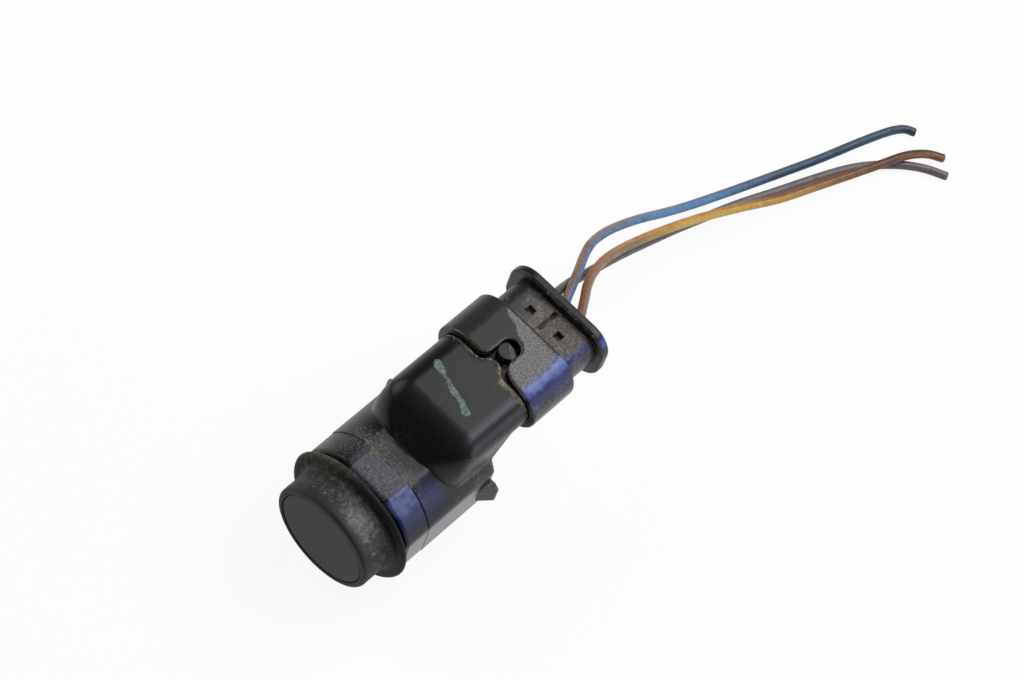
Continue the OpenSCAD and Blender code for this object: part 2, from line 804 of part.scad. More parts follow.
membrane_cup();
piezo_disc();
damping_foam();
piezo_leads();
decoupling_ring();
front_ring();
housing();
potting_cap();
circuit_board();
control_chip();
transformer();
capacitors();
contact_pin_left();
contact_pin_middle();
contact_pin_right();
plug_housing();
plug_seal();
terminal_lock();
terminal_left();
terminal_middle();
terminal_right();
wire_seal();
seal_retainer();
wire_grey();
wire_blue();
wire_yellow();
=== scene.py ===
import math

import bmesh
import bpy
import numpy as np
from mathutils import Matrix, Vector


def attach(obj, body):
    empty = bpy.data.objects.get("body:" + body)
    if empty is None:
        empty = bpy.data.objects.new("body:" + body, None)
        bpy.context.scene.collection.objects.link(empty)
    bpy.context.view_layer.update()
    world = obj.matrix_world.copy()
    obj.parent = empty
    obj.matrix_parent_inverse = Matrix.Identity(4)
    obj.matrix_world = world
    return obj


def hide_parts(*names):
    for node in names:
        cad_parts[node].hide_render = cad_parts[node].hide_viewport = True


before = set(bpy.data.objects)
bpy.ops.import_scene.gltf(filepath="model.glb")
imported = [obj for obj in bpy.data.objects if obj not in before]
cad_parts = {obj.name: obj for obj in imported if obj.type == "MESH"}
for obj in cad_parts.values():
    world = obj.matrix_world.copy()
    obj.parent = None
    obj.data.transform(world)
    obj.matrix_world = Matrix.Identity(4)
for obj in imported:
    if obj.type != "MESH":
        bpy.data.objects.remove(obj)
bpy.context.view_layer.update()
scene = bpy.context.scene
mm = 0.001  # sizes below are in millimetres, the scene is in metres
print("frame loaded,", len(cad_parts), "nodes")

# camera, at the viewing angle of the photograph
cameraView = {
    "place": (91.75, -161.48, 381.77),
    "right": (0.7088, 0.6810, 0.1837),
    "up": (-0.6712, 0.5711, 0.4726),
    "back": (0.2169, -0.4583, 0.8619),
    "lens": 105.47,
    "sensor": 36,
    "near": 0.01,
}


def addCamera(view):
    data = bpy.data.cameras.new("viewCamera")
    data.lens = view["lens"]
    data.sensor_width = view["sensor"]
    data.sensor_fit = "HORIZONTAL"
    data.clip_start = view["near"]
    camera = bpy.data.objects.new("viewCamera", data)
    turn = Matrix((view["right"], view["up"], view["back"])).transposed().to_4x4()
    turn.translation = [v * mm for v in view["place"]]
    camera.matrix_world = turn
    scene.collection.objects.link(camera)
    scene.camera = camera


addCamera(cameraView)


# shader helpers
def put(tree, kind, inputs=None, **props):  # adds a node; an input is a value or another node's socket
    node = tree.nodes.new("ShaderNode" + kind)
    for key, value in props.items():
        setattr(node, key, value)
    for key, value in (inputs or {}).items():
        if isinstance(value, bpy.types.NodeSocket):
            tree.links.new(value, node.inputs[key])
        else:
            node.inputs[key].default_value = value
    return node


def mixColor(tree, factor, a, b, blend="MIX"):  # 0, 6 and 7 are the colour sockets of a Mix node
    return put(tree, "Mix", {0: factor, 6: a, 7: b}, data_type="RGBA", blend_type=blend).outputs[2]


def calc(tree, operation, a, b, added=None, clamp=False):  # added is the third value of MULTIPLY_ADD
    values = {0: a, 1: b} if added is None else {0: a, 1: b, 2: added}
    return put(tree, "Math", values, operation=operation, use_clamp=clamp).outputs[0]


def ramp(tree, value, low, high):  # smooth step from 0 at low to 1 at high
    kind = {"interpolation_type": "SMOOTHSTEP"}
    return put(tree, "MapRange", {"Value": value, "From Min": low, "From Max": high}, **kind).outputs[0]


def remap(tree, value, low, high, least, most):  # straight line from least at low to most at high
    ends = {"From Min": low, "From Max": high, "To Min": least, "To Max": most}
    return put(tree, "MapRange", {"Value": value, **ends}).outputs[0]


def noise(tree, place, scale, detail, roughness=0.5):
    values = {"Vector": place, "Scale": scale, "Detail": detail, "Roughness": roughness}
    return put(tree, "TexNoise", values).outputs[0]


def groupNode(tree, group, inputs):
    return put(tree, "Group", inputs, node_tree=group)


def addBump(tree, shader, strength, distance, height):
    bump = put(tree, "Bump", {"Strength": strength, "Distance": distance, "Height": height})
    tree.links.new(bump.outputs[0], shader.inputs["Normal"])


def srgb(r, g, b):  # screen values 0 to 255 to a linear colour
    c = np.array([r, g, b]) / 255
    c = np.where(c <= 0.04045, c / 12.92, ((c + 0.055) / 1.055) ** 2.4)
    return (*[float(v) for v in c], 1.0)


def newGroup(name, ins, outs):
    tree = bpy.data.node_groups.new(name, "ShaderNodeTree")
    for socket, kind, value in ins:
        made = tree.interface.new_socket(socket, in_out="INPUT", socket_type="NodeSocket" + kind)
        if value is not None:
            made.default_value = value
    for socket, kind in outs:
        tree.interface.new_socket(socket, in_out="OUTPUT", socket_type="NodeSocket" + kind)
    return tree, tree.nodes.new("NodeGroupInput").outputs, tree.nodes.new("NodeGroupOutput").inputs


def mouldGrainGroup():  # fine grain of a mould face over slow unevenness
    tree, given, out = newGroup(
        "mouldGrain",
        [("Vector", "Vector", None), ("Scale", "Float", 4000.0), ("Coarse", "Float", 0.3)],
        [("Height", "Float"), ("Tone", "Float")])
    place, scale = given["Vector"], given["Scale"]
    fine = noise(tree, place, scale, 2.0)
    slow = noise(tree, place, calc(tree, "MULTIPLY", scale, 0.12), 3.0)
    tree.links.new(calc(tree, "MULTIPLY_ADD", slow, given["Coarse"], fine), out["Height"])
    tree.links.new(slow, out["Tone"])
    return tree


def settledDustGroup():  # dust that breaks up into specks where it gets thin
    tree, given, out = newGroup(
        "settledDust",
        [("Color", "Color", None), ("Dust", "Color", None), ("Amount", "Float", 0.0),
         ("Vector", "Vector", None), ("Scale", "Float", 2500.0), ("Cover", "Float", 0.8)],
        [("Color", "Color"), ("Mask", "Float")])
    place, scale, amount = given["Vector"], given["Scale"], given["Amount"]
    speck = noise(tree, place, scale, 4.0, 0.7)
    cloud = noise(tree, place, calc(tree, "MULTIPLY", scale, 0.1), 3.0)
    both = calc(tree, "ADD", speck, calc(tree, "MULTIPLY", cloud, 0.6))
    reach = calc(tree, "ADD", both, calc(tree, "MULTIPLY", amount, 0.8))
    broken = calc(tree, "MULTIPLY", ramp(tree, reach, 0.95, 1.35), given["Cover"])
    mask = calc(tree, "MULTIPLY", broken, ramp(tree, amount, 0.0, 0.25))
    fine = noise(tree, place, calc(tree, "MULTIPLY", scale, 1.5), 2.0)
    dust = mixColor(tree, 1.0, given["Dust"], remap(tree, fine, 0.3, 0.7, 0.45, 1.6), "MULTIPLY")
    tree.links.new(mixColor(tree, mask, given["Color"], dust), out["Color"])
    tree.links.new(mask, out["Mask"])
    return tree


grainGroup, dustGroup = mouldGrainGroup(), settledDustGroup()


def newMaterial(name, roughness, specular=0.5, metallic=0.0):
    material = bpy.data.materials.new(name)
    material.use_nodes = True
    tree = material.node_tree
    shader = tree.nodes["Principled BSDF"]
    shader.inputs["Roughness"].default_value = roughness
    shader.inputs["Specular IOR Level"].default_value = specular
    shader.inputs["Metallic"].default_value = metallic
    return material, tree, shader


def mark(tree, name):  # a value that the mesh carries for each point
    return put(tree, "Attribute", attribute_name=name).outputs["Fac"]


def mouldedPlastic(look):  # dark plastic or rubber with grain, tone, a painted blue reflection, dust, dirt, paint
    material, tree, shader = newMaterial(look["name"], look["roughness"], look["specular"])
    place = put(tree, "TexCoord").outputs["Object"]
    grain = groupNode(tree, grainGroup, {
        "Vector": place, "Scale": look["grainScale"], "Coarse": look["coarse"]})
    color = mixColor(tree, mark(tree, "tone"), look["dark"], look["light"])
    patchy = remap(tree, noise(tree, place, look["patchScale"], 4.0, 0.65), 0.3, 0.7, *look["patchRange"])
    # this mark is a painted blue reflection, broken up in patches and mixed in over two steps
    bloom = calc(tree, "MULTIPLY", mark(tree, "bloom"), patchy)
    color = mixColor(tree, ramp(tree, bloom, 0.0, 0.5), color, look["deepBloom"])
    color = mixColor(tree, ramp(tree, bloom, 0.5, 1.0), color, look["bloom"])
    uneven = calc(tree, "MULTIPLY", ramp(tree, grain.outputs["Tone"], 0.3, 0.7), look["uneven"])
    color = mixColor(tree, uneven, color, (0.0, 0.0, 0.0, 1.0))
    masks = {}
    for layer, share in (("dust", 1.0), ("dirt", 0.6), ("paint", 0.5)):  # each lies on the one before
        laid = groupNode(tree, dustGroup, {
            "Color": color, "Dust": look[layer], "Amount": mark(tree, layer), "Vector": place,
            "Scale": look["speckScale"] * share, "Cover": look[layer + "Cover"]})
        color, masks[layer] = laid.outputs["Color"], laid.outputs["Mask"]
    tree.links.new(color, shader.inputs["Base Color"])
    covered = calc(tree, "ADD", masks["dust"], masks["dirt"], clamp=True)
    gain = calc(tree, "MULTIPLY", mark(tree, "polish"), look["polishGain"])
    bare = calc(tree, "SUBTRACT", look["roughness"], gain)
    rough = put(tree, "Mix", {0: covered, 2: bare, 3: look["dustRoughness"]}).outputs[0]
    tree.links.new(rough, shader.inputs["Roughness"])
    height = calc(tree, "ADD", grain.outputs["Height"], covered)
    addBump(tree, shader, look["bump"], look["bumpDepth"], height)
    return material


# mesh helpers
def faceGrid(n, m, wrapU, wrapV):
    i, j = np.meshgrid(np.arange(n if wrapU else n - 1), np.arange(m if wrapV else m - 1), indexing="ij")
    a, b = (i + 1) % n, (j + 1) % m
    return np.stack([i * m + j, a * m + j, a * m + b, i * m + b], -1).reshape(-1, 4)


def makePiece(name, sheets, material, replaced=(), marks=None, sharp=38):
    # sheets: list of (grid of points n x m x 3, wraps along n, wraps along m)
    points, faces, count = [], [], 0
    for grid, wrapU, wrapV in sheets:
        n, m = grid.shape[:2]
        points.append(grid.reshape(-1, 3))
        faces.append(faceGrid(n, m, wrapU, wrapV) + count)
        count += n * m
    points, faces = np.concatenate(points), np.concatenate(faces)
    mesh = bpy.data.meshes.new(name)
    mesh.vertices.add(len(points))
    mesh.vertices.foreach_set("co", (points * mm).astype(np.float32).ravel())
    mesh.loops.add(faces.size)
    mesh.loops.foreach_set("vertex_index", faces.astype(np.int32).ravel())
    mesh.polygons.add(len(faces))
    mesh.polygons.foreach_set("loop_start", np.arange(0, faces.size, 4, dtype=np.int32))
    mesh.update(calc_edges=True)
    for key, values in (marks(points) if marks else {}).items():
        layer = mesh.attributes.new(key, "FLOAT", "POINT")
        layer.data.foreach_set("value", np.clip(values, 0, 1).astype(np.float32))
    shell = bmesh.new()
    shell.from_mesh(mesh)
    bmesh.ops.remove_doubles(shell, verts=shell.verts, dist=1e-6)
    bmesh.ops.dissolve_degenerate(shell, edges=shell.edges, dist=1e-7)
    bmesh.ops.recalc_face_normals(shell, faces=shell.faces)
    shell.to_mesh(mesh)
    shell.free()
    mesh.shade_smooth()
    mesh.set_sharp_from_angle(angle=math.radians(sharp))
    mesh.materials.append(material)
    piece = bpy.data.objects.new(name, mesh)
    scene.collection.objects.link(piece)
    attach(piece, "root")
    if replaced:
        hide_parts(*replaced)
    return piece


def arc(cx, cy, r, start, end, count):  # points on an arc, angles in degrees
    a = np.radians(np.linspace(start, end, count))
    return np.stack([cx + r * np.cos(a), cy + r * np.sin(a)], 1)


def turned(profile, count):  # profile of radius and station, turned about the Y axis
    a = np.linspace(0, 2 * np.pi, count, endpoint=False)
    r, y = np.asarray(profile, float).T
    return np.stack([np.outer(np.sin(a), r), np.broadcast_to(y, (count, len(y))), np.outer(np.cos(a), r)], -1)


def roundMax(a, b, r):  # where two solids overlap, with radius r on the edge
    edge = np.hypot(np.maximum(a + r, 0), np.maximum(b + r, 0))
    return np.minimum(np.maximum(a, b), -r) + edge


def softMin(a, b, k):  # two solids together, with a fillet about k wide
    h = np.clip(0.5 + 0.5 * (b - a) / k, 0, 1)
    return b * (1 - h) + a * h - k * h * (1 - h)


def roundBox(x, z, hw, hh, r):  # distance to a rounded rectangle
    qx, qz = np.abs(x) - hw + r, np.abs(z) - hh + r
    return np.hypot(np.maximum(qx, 0), np.maximum(qz, 0)) + np.minimum(np.maximum(qx, qz), 0) - r


def castRows(field, stations, angles, centerZ, reach=26.0):
    # from the middle of each section outwards at each angle, to where the field turns positive, by halving
    y, a = np.meshgrid(stations, angles, indexing="ij")
    near, far = np.zeros_like(y), np.full_like(y, reach)
    for step in range(30):
        middle = (near + far) / 2
        inside = field(middle * np.sin(a), y, centerZ + middle * np.cos(a)) < 0
        near, far = np.where(inside, middle, near), np.where(inside, far, middle)
    return np.stack([near * np.sin(a), y, centerZ + near * np.cos(a)], -1)


def plotted(value, pairs):  # straight lines between pairs of place and amount
    place, amount = zip(*pairs)
    return np.interp(value, place, amount)


def smooth(value, low, high):  # 0 below low, 1 above high
    t = np.clip((value - low) / (high - low), 0, 1)
    return t * t * (3 - 2 * t)


def between(value, low, lowEnd, high, highEnd):  # rises from low to lowEnd, falls from high to highEnd
    return smooth(value, low, lowEnd) * (1 - smooth(value, high, highEnd))


def soft01(value, low, high, edge):  # 1 between low and high, with edges a little soft
    return between(value, low - edge, low + edge, high - edge, high + edge)


def bell(value, middle, width):  # 1 in the middle, falling off to both sides
    return np.exp(-((value - middle) / width) ** 2)


def turnOf(x, z):  # degrees round an axis along Y, 0 on top, 90 at +X
    return np.degrees(np.arctan2(x, z))


# the looks of the moulded pieces
housingLook = {
    "name": "dustyHousingPlastic", "roughness": 0.33, "specular": 0.33, "grainScale": 5000.0, "coarse": 0.6,
    # the deep blue on this line and the blue at the start of the next line are a painted reflection
    "dark": srgb(8, 7, 7), "light": srgb(46, 46, 46), "deepBloom": srgb(36, 39, 96),
    "bloom": srgb(108, 123, 184), "uneven": 0.25, "dust": srgb(124, 120, 114), "dirt": srgb(170, 156, 134),
    "paint": srgb(104, 122, 114), "speckScale": 2600.0, "dustCover": 0.55, "dirtCover": 0.9,
    "paintCover": 0.85, "dustRoughness": 0.9, "polishGain": 0.15, "patchScale": 1100.0,
    "patchRange": (0.78, 1.18), "bump": 0.3, "bumpDepth": 0.00006,
}
housingPlastic = mouldedPlastic(housingLook)
ringPlastic = mouldedPlastic({
    **housingLook, "name": "satinRingPlastic", "dust": srgb(114, 112, 121), "uneven": 0.15,
    # the blue on this line is a painted reflection
    "bloom": srgb(108, 116, 158), "dirt": srgb(140, 130, 116),
})
plugPlastic = mouldedPlastic({
    **housingLook, "name": "dustyPlugPlastic", "dust": srgb(136, 134, 134), "dirt": srgb(112, 104, 94),
    "dustCover": 0.75,
})
noseRubber = mouldedPlastic({
    **housingLook, "name": "dustyNoseRubber", "roughness": 0.6, "specular": 0.2, "light": srgb(98, 95, 91),
    "dust": srgb(142, 139, 134), "dirt": srgb(76, 73, 64), "grainScale": 3500.0, "speckScale": 1300.0,
    "bump": 0.25,
})
facePaint = mouldedPlastic({
    **housingLook, "name": "satinFacePaint", "roughness": 0.5, "specular": 0.2, "light": srgb(43, 41, 45),
    "uneven": 0.1, "grainScale": 7000.0, "coarse": 0.1, "bump": 0.2,
})
print("materials made")

angles = np.linspace(0, 2 * np.pi, 480, endpoint=False)

# sensing face: a flat disc with a rounded rim, set a little behind the rubber lip
face = {"r": 7.66, "y": -2.4, "edge": 0.18, "depth": 1.1, "count": 160, "dust": 0.12}


def makeFace(f):
    rim = arc(f["r"] - f["edge"], f["y"] + f["edge"], f["edge"], -90, 0, 7)
    flat = [(r, f["y"]) for r in np.linspace(0, f["r"] - f["edge"], 12)[:-1]]
    profile = [*flat, *rim, (f["r"], f["y"] + f["depth"]), (0.0, f["y"] + f["depth"])]
    grid = turned(profile, f["count"])
    makePiece("sensingFace", [(grid, True, False)], facePaint, ("membrane_cup",),
              lambda p: {"tone": np.full(len(p), 1.0), "dust": np.full(len(p), f["dust"])})


makeFace(face)

# rubber nose: lip, straight wall, fillet and thin flange, turned from one profile
nose = {"inner": 7.75, "r": 8.75, "lipY": -2.5, "lipRound": 0.6, "fillet": 0.8, "flangeR": 11.0,
        "flangeY": 2.7, "flangeT": 1.1, "wave": 0.07, "backR": 7.95, "backY": 5.2, "innerY": -1.2,
        "innerRound": 0.14, "count": 240}
# on the lit side of the wall, the tone and part of the dust are a painted highlight
noseWear = {"tone": 0.27, "litTone": 0.5, "flangeTone": 0.34, "litDust": 0.34, "wallDust": 0.22,
            "leftDust": 0.14, "filletDust": 0.22, "flangeDust": 0.25, "filletDirt": 0.38, "flangeDirt": 0.8,
            "edgeDirt": 0.35}


def makeNose(n):
    t = n["flangeT"] / 2
    lip = n["lipY"] + n["lipRound"]
    q = n["innerRound"]
    profile = [(n["inner"], n["innerY"]), (n["inner"], n["lipY"] + q)]
    profile += [*arc(n["inner"] + q, n["lipY"] + q, q, 180, 270, 5)]
    profile += [*arc(n["r"] - n["lipRound"], lip, n["lipRound"], -90, 0, 10)]
    profile += [(n["r"], y) for y in np.linspace(lip, n["flangeY"] - n["fillet"], 12)[1:-1]]
    profile += [*arc(n["r"] + n["fillet"], n["flangeY"] - n["fillet"], n["fillet"], 180, 90, 10)]
    profile += [*arc(n["flangeR"] - t, n["flangeY"] + t, t, -90, 90, 14)]
    profile += [(n["backR"], n["flangeY"] + n["flangeT"]), (n["backR"], n["backY"])]
    grid = turned(profile, n["count"])
    a = np.linspace(0, 2 * np.pi, n["count"], endpoint=False)[:, None]
    radius = np.hypot(grid[..., 0], grid[..., 2])
    loose = smooth(radius, 9.4, 10.8) * n["wave"]  # the flange's thin edge is not quite round
    scale = 1 - loose * (0.6 + 0.4 * np.sin(3 * a + 0.7)) * (0.5 + 0.5 * np.sin(7 * a)) / radius
    grid[..., 0] *= scale
    grid[..., 2] *= scale
    makePiece("noseRubber", [(grid, True, False)], noseRubber, ("decoupling_ring",), noseMarks)


def noseMarks(p):  # a painted highlight on the lit side of the wall, laid as lighter tone and dust; dust in the fillet, dirt on the left of the flange
    x, y, z = p.T
    w, a, r = noseWear, turnOf(x, z), np.hypot(x, z)
    wall = between(r, 8.6, 8.72, 8.8, 9.1) * smooth(y, -2.4, -0.6)
    fillet = smooth(y, 1.2, 2.2) * (1 - smooth(r, 9.8, 10.4))
    flange = smooth(r, 8.9, 9.4) * bell(a, -62, 34)
    lit, left = bell(a, 27, 26), bell(a, -45, 55)
    # painted highlight: lighter tone on the lit side of the wall
    bare = w["tone"] + w["litTone"] * lit * wall
    tone = bare + (w["flangeTone"] * left - bare) * smooth(r, 8.9, 9.8)
    dust = wall * (w["litDust"] * lit + w["wallDust"] + w["leftDust"] * bell(a, -60, 30))
    dust += w["filletDust"] * fillet * bell(a, 20, 50) + w["flangeDust"] * flange
    dirt = w["filletDirt"] * fillet * bell(a, -5, 40) + w["flangeDirt"] * flange
    dirt += w["edgeDirt"] * left * smooth(r, 9.6, 10.2)
    return {"tone": tone, "dust": dust, "dirt": dirt}


makeNose(nose)

# front ring and barrel: a circle with a flat on top and on both sides
barrel = {"ringR": 10.48, "barrelR": 10.6, "flatX": 9.9, "flatZ": 9.6, "boreR": 9.2, "boreX": 8.5,
          "boreZ": 8.2, "ringY": 4.3, "seamY": 8.7, "rearY": 22.5, "rearRound": 0.9, "chamfer": 0.4,
          "seamRound": 0.16, "flatEdge": 0.2, "ringBoreR": 8.0, "ringBoreY": 5.6, "seamInset": 1.2,
          "frontR": 9.0, "frontX": 8.8, "frontZ": 8.6, "castZ": 3.0}
ringWear = {  # pairs of degrees from the top and amount
    # the tone pairs paint shade and highlight round the ring: darker on the shoulders beside the top flat,
    # lighter on the top and on the right flat
    "tone": [(-60, 0.4), (-40, 0.2), (-16, 0.1), (-12, 0.6), (22, 0.8), (46, 0.3), (66, 0.2), (74, 0.9)],
    # the next pairs place a painted blue reflection round the ring
    "bloom": [(22, 0), (25, 0.85), (34, 0.9), (40, 0.75), (46, 0.45), (52, 0.25), (64, 0.15), (72, 0)],
    "flatDust": 0.6, "leftDust": 0.3, "seamDirt": 0.38,
}
seamSpan = (-28, -22, 26, 36)  # where round the barrel the seam is dirty, in degrees


def flatted(x, z, r, flatX, flatZ, edge):  # circle less what lies past the flats
    inside = roundMax(np.hypot(x, z) - r, np.abs(x) - flatX, edge)
    return roundMax(inside, z - flatZ, edge)


def makeRing(b):  # the flatted outline at each station, set in by an amount or scaled to the bore
    def section(x, y, z):
        return flatted(x, z, b["ringR"], b["flatX"], b["flatZ"], b["flatEdge"])

    outline = castRows(section, [0.0], angles, 0.0)[0][:, [0, 2]]
    radius = np.hypot(outline[:, 0], outline[:, 1])
    c, e, front = b["chamfer"], b["seamRound"], b["ringY"]
    rows = [(None, b["ringBoreY"]), (None, front + 0.1), (None, front)]
    rows += [(c + 0.06, front), (c - 0.06, front + 0.05), (0.06, front + c - 0.05), (0, front + c + 0.05)]
    rows += [(0, y) for y in np.linspace(front + c + 0.3, b["seamY"] - e - 0.1, 12)]
    rows += [(e - e * math.cos(t), b["seamY"] - e + e * math.sin(t)) for t in np.linspace(0, math.pi / 2, 6)]
    rows += [(b["seamInset"], b["seamY"])]
    grid = []
    for inset, y in rows:
        share = b["ringBoreR"] / radius if inset is None else 1 - inset / radius
        grid.append(np.stack([outline[:, 0] * share, np.full(len(share), y), outline[:, 1] * share], -1))
    makePiece("frontRing", [(np.array(grid), False, True)], ringPlastic, ("front_ring",),
              ringMarks)


def ringMarks(p):  # dusty flat on top, a painted blue reflection on the right of it, painted shade further round and a painted highlight on the right flat
    x, y, z = p.T
    w, a = ringWear, turnOf(x, z)
    flat = between(x, -2.95, -2.7, 3.9, 4.15) * smooth(z, 9.0, 9.3)
    dust = w["flatDust"] * flat + w["leftDust"] * between(a, -75, -60, -16, -12)
    dirt = w["seamDirt"] * smooth(y, 8.5, 8.62) * between(a, *seamSpan)
    return {"tone": plotted(a, w["tone"]), "dust": dust, "bloom": plotted(a, w["bloom"]), "dirt": dirt,
            "polish": smooth(np.abs(x), 9.75, 9.85)}


makeRing(barrel)

# housing: barrel and sloped bulge as one soft-edged form, then the connector end with its collar
bulge = {"hw": 8.5, "top": 13.7, "z": 10.2, "hh": 3.5, "endRound": 3.4, "footY": 12.1, "run": 4.4,
         "crest": 1.7, "foot": 0.35, "corner": 4.4, "rimY": 28.7, "rimRound": 0.25, "wallRun": 3.7,
         "wallZ": 4.9, "collarHw": 8.15, "collarHh": 3.15, "collarY": 35.3, "collarWall": 0.9}


def bulgeSection(x, z, b):  # flat-topped section with round shoulders and walls that go straight down
    qx, qz = np.abs(x) - b["hw"] + b["endRound"], z - b["top"] + b["endRound"]
    return np.hypot(np.maximum(qx, 0), np.maximum(qz, 0)) + np.minimum(np.maximum(qx, qz), 0) - b["endRound"]


def bulgeHalfWidth(y, b):  # seen from above: a quarter of a circle at each front corner
    short = np.clip(b["footY"] + b["corner"] - y, 0, b["corner"])
    return b["hw"] - b["corner"] + np.sqrt(b["corner"] ** 2 - short ** 2)


def slopePlane(y, z, b):  # height over the plane from the foot on the barrel's flat up to the crest
    rise = b["top"] - barrel["flatZ"]
    return ((z - barrel["flatZ"]) * b["run"] - (y - b["footY"]) * rise) / math.hypot(rise, b["run"])


def slantPlane(y, z, b):  # height behind the plane that cuts the walls from the barrel's rear upwards
    rise = b["z"] - b["wallZ"]
    return ((y - barrel["rearY"]) * rise - (z - b["wallZ"]) * b["wallRun"]) / math.hypot(rise, b["wallRun"])


def housingField(x, y, z):  # below 0 inside: the flatted barrel, with the bulge filleted onto it
    tube = flatted(x, z, barrel["barrelR"], barrel["flatX"], barrel["flatZ"], barrel["flatEdge"])
    tube = roundMax(tube, y - barrel["rearY"], barrel["rearRound"])
    tube = roundMax(tube, barrel["seamY"] - y, barrel["seamRound"])
    upper = roundMax(z - bulge["top"], slopePlane(y, z, bulge), bulge["crest"])
    hump = roundMax(upper, np.abs(x) - bulgeHalfWidth(y, bulge), bulge["endRound"])
    hump = np.maximum(hump, -z)  # its walls end inside the barrel
    return softMin(tube, hump, bulge["foot"])


def endField(x, y, z):  # below 0 inside: the oval end and the slanted walls under it, up to the rim
    oval = roundBox(x, z - bulge["z"], bulge["hw"], bulge["hh"], bulge["endRound"])
    wall = roundMax(bulgeSection(x, z, bulge), slantPlane(y, z, bulge), 0.4)
    return roundMax(np.minimum(oval, wall), y - bulge["rimY"], bulge["rimRound"])


def makeHousing(b, t):  # rays from the middle of each section out to the surface, station by station
    def bore(x, y, z):
        return flatted(x, z, t["boreR"], t["boreX"], t["boreZ"], t["flatEdge"])

    def mouthOfRing(x, y, z):
        return flatted(x, z, t["frontR"], t["frontX"], t["frontZ"], t["flatEdge"])

    rear = t["rearY"] - t["rearRound"] + t["rearRound"] * np.sin(np.linspace(0, np.pi / 2, 10))
    # closer together where the edges are round and where the bulge rises
    stations = np.concatenate([
        t["seamY"] + np.array([0, 0.015, 0.05, 0.1, 0.16, 0.3]), np.arange(9.2, 12.0, 0.2),
        np.arange(12.0, 21.6, 0.1), rear])
    front = castRows(mouthOfRing, [t["seamY"]], angles, t["castZ"])
    body = castRows(housingField, stations, angles, t["castZ"])
    back = castRows(bore, [t["rearY"], t["rearY"] - 0.2, t["rearY"] - 0.6], angles, t["castZ"])
    tube = np.concatenate([front, body, back])

    def collar(x, y, z):
        return roundBox(x, z - b["z"], b["collarHw"], b["collarHh"], b["collarHh"] - 0.1)

    def socket(x, y, z):
        hw, hh = b["collarHw"] - b["collarWall"], b["collarHh"] - b["collarWall"]
        return roundBox(x, z - b["z"], hw, hh, hh - 0.1)

    rim = b["rimY"] - b["rimRound"] + b["rimRound"] * np.sin(np.linspace(0, np.pi / 2, 8))
    steps = np.concatenate([np.arange(t["rearY"], 26.4, 0.12),
                            np.arange(26.6, b["rimY"] - b["rimRound"], 0.3), rim])
    inner = castRows(lambda x, y, z: endField(x, y, z) + 0.015, [t["rearY"]] * 2, angles, b["z"])
    inner[..., 1] -= np.array([[0.6], [0.05]])  # starts just under the barrel's skin
    shell = castRows(endField, steps, angles, b["z"])
    neck = castRows(collar, [b["rimY"], b["rimY"] + 0.2, 31.0, 33.0, b["collarY"]], angles, b["z"])
    mouth = castRows(socket, [b["collarY"], b["collarY"] - 1.5], angles, b["z"])
    plugEnd = np.concatenate([inner, shell, neck, mouth])
    sheets = [(tube, False, True), (plugEnd, False, True), tongueSheet(), *latchSheets()]
    makePiece("housingShell", sheets, housingPlastic, ("housing",), housingMarks)


tongue = {"x": 0.15, "r": 1.7, "y": 28.45, "root": 1.4, "top": 13.69, "drop": 0.8, "edge": 0.25,
          "alongRim": 1.0, "spineBack": 0.6, "spineEnd": 0.4}
latch = {"x": 0.25, "y": 31.8, "r": 1.4, "low": 13.2, "top": 15.05, "flat": 0.1, "rampZ": 13.92, "edge": 0.12,
         "turn": 38.0}


def tongueSheet():  # rows from the middle line out to a bell-shaped outline, then round its edge and down
    t = tongue
    rise = bulge["rimY"] + t["root"] - t["y"]
    lean = math.degrees(math.asin(rise / (t["r"] + t["root"])))
    away = (t["r"] + t["root"]) * math.cos(math.radians(lean))
    root = arc(away, t["y"] + rise, t["root"], 270, 180 + lean, 9)
    bend = arc(0, t["y"], t["r"], lean, 180 - lean, 33)
    half = np.concatenate([[(away + t["alongRim"], bulge["rimY"])], root])  # starts along the rim
    outline = np.concatenate([half, bend[1:-1], half[::-1] * [-1, 1]]) + [t["x"], 0]
    middle = np.minimum(outline[:, 1] - t["spineBack"], t["y"] + t["spineEnd"])
    spine = np.stack([np.full(len(outline), t["x"]), middle], 1)
    ahead = np.gradient(outline, axis=0)
    inward = np.stack([-ahead[:, 1], ahead[:, 0]], 1) / np.linalg.norm(ahead, axis=1)[:, None]
    rows = []
    for s in np.linspace(0, 1, 5):
        rows.append((spine + (outline + inward * t["edge"] - spine) * s, t["top"]))
    for a in np.linspace(0, np.pi / 2, 6)[1:]:
        rows.append((outline + inward * t["edge"] * (1 - np.sin(a)), t["top"] - t["edge"] * (1 - np.cos(a))))
    rows.append((outline, t["top"] - t["drop"]))
    return np.array([np.column_stack([xy, np.full(len(xy), z)]) for xy, z in rows]), False, False


def latchSheets():  # round stud with a ramp towards the plug
    t = latch
    a = np.linspace(0, 2 * np.pi, 48, endpoint=False)
    rows = []
    for r in np.linspace(0.02, t["r"] - t["edge"], 8):
        rows.append((r, 0.0))
    for b in np.linspace(0, np.pi / 2, 5)[1:]:
        rows.append((t["r"] - t["edge"] * (1 - math.sin(b)), t["edge"] * (1 - math.cos(b))))
    rows.append((t["r"], 9.0))
    grid = []
    for r, drop in rows:
        x, y = r * np.sin(a), r * np.cos(a)
        ahead = x * math.sin(math.radians(t["turn"])) + y * math.cos(math.radians(t["turn"]))
        fall = np.clip((ahead - t["flat"]) / (t["r"] - t["flat"]), 0, 1) * (t["top"] - t["rampZ"])
        grid.append(np.column_stack([t["x"] + x, t["y"] + y, np.maximum(t["top"] - fall - drop, t["low"])]))
    return [(np.array(grid), False, True)]


brushMark = {"line": [(-5.3, 23.4), (-4.0, 23.0), (-2.9, 22.7), (-0.8, 22.0), (1.3, 21.6), (2.8, 20.9)],
             "width": [0.8, 0.7, 0.45, 0.65, 0.55, 0.8], "load": [0.95, 0.9, 0.3, 0.85, 0.65, 1.0]}


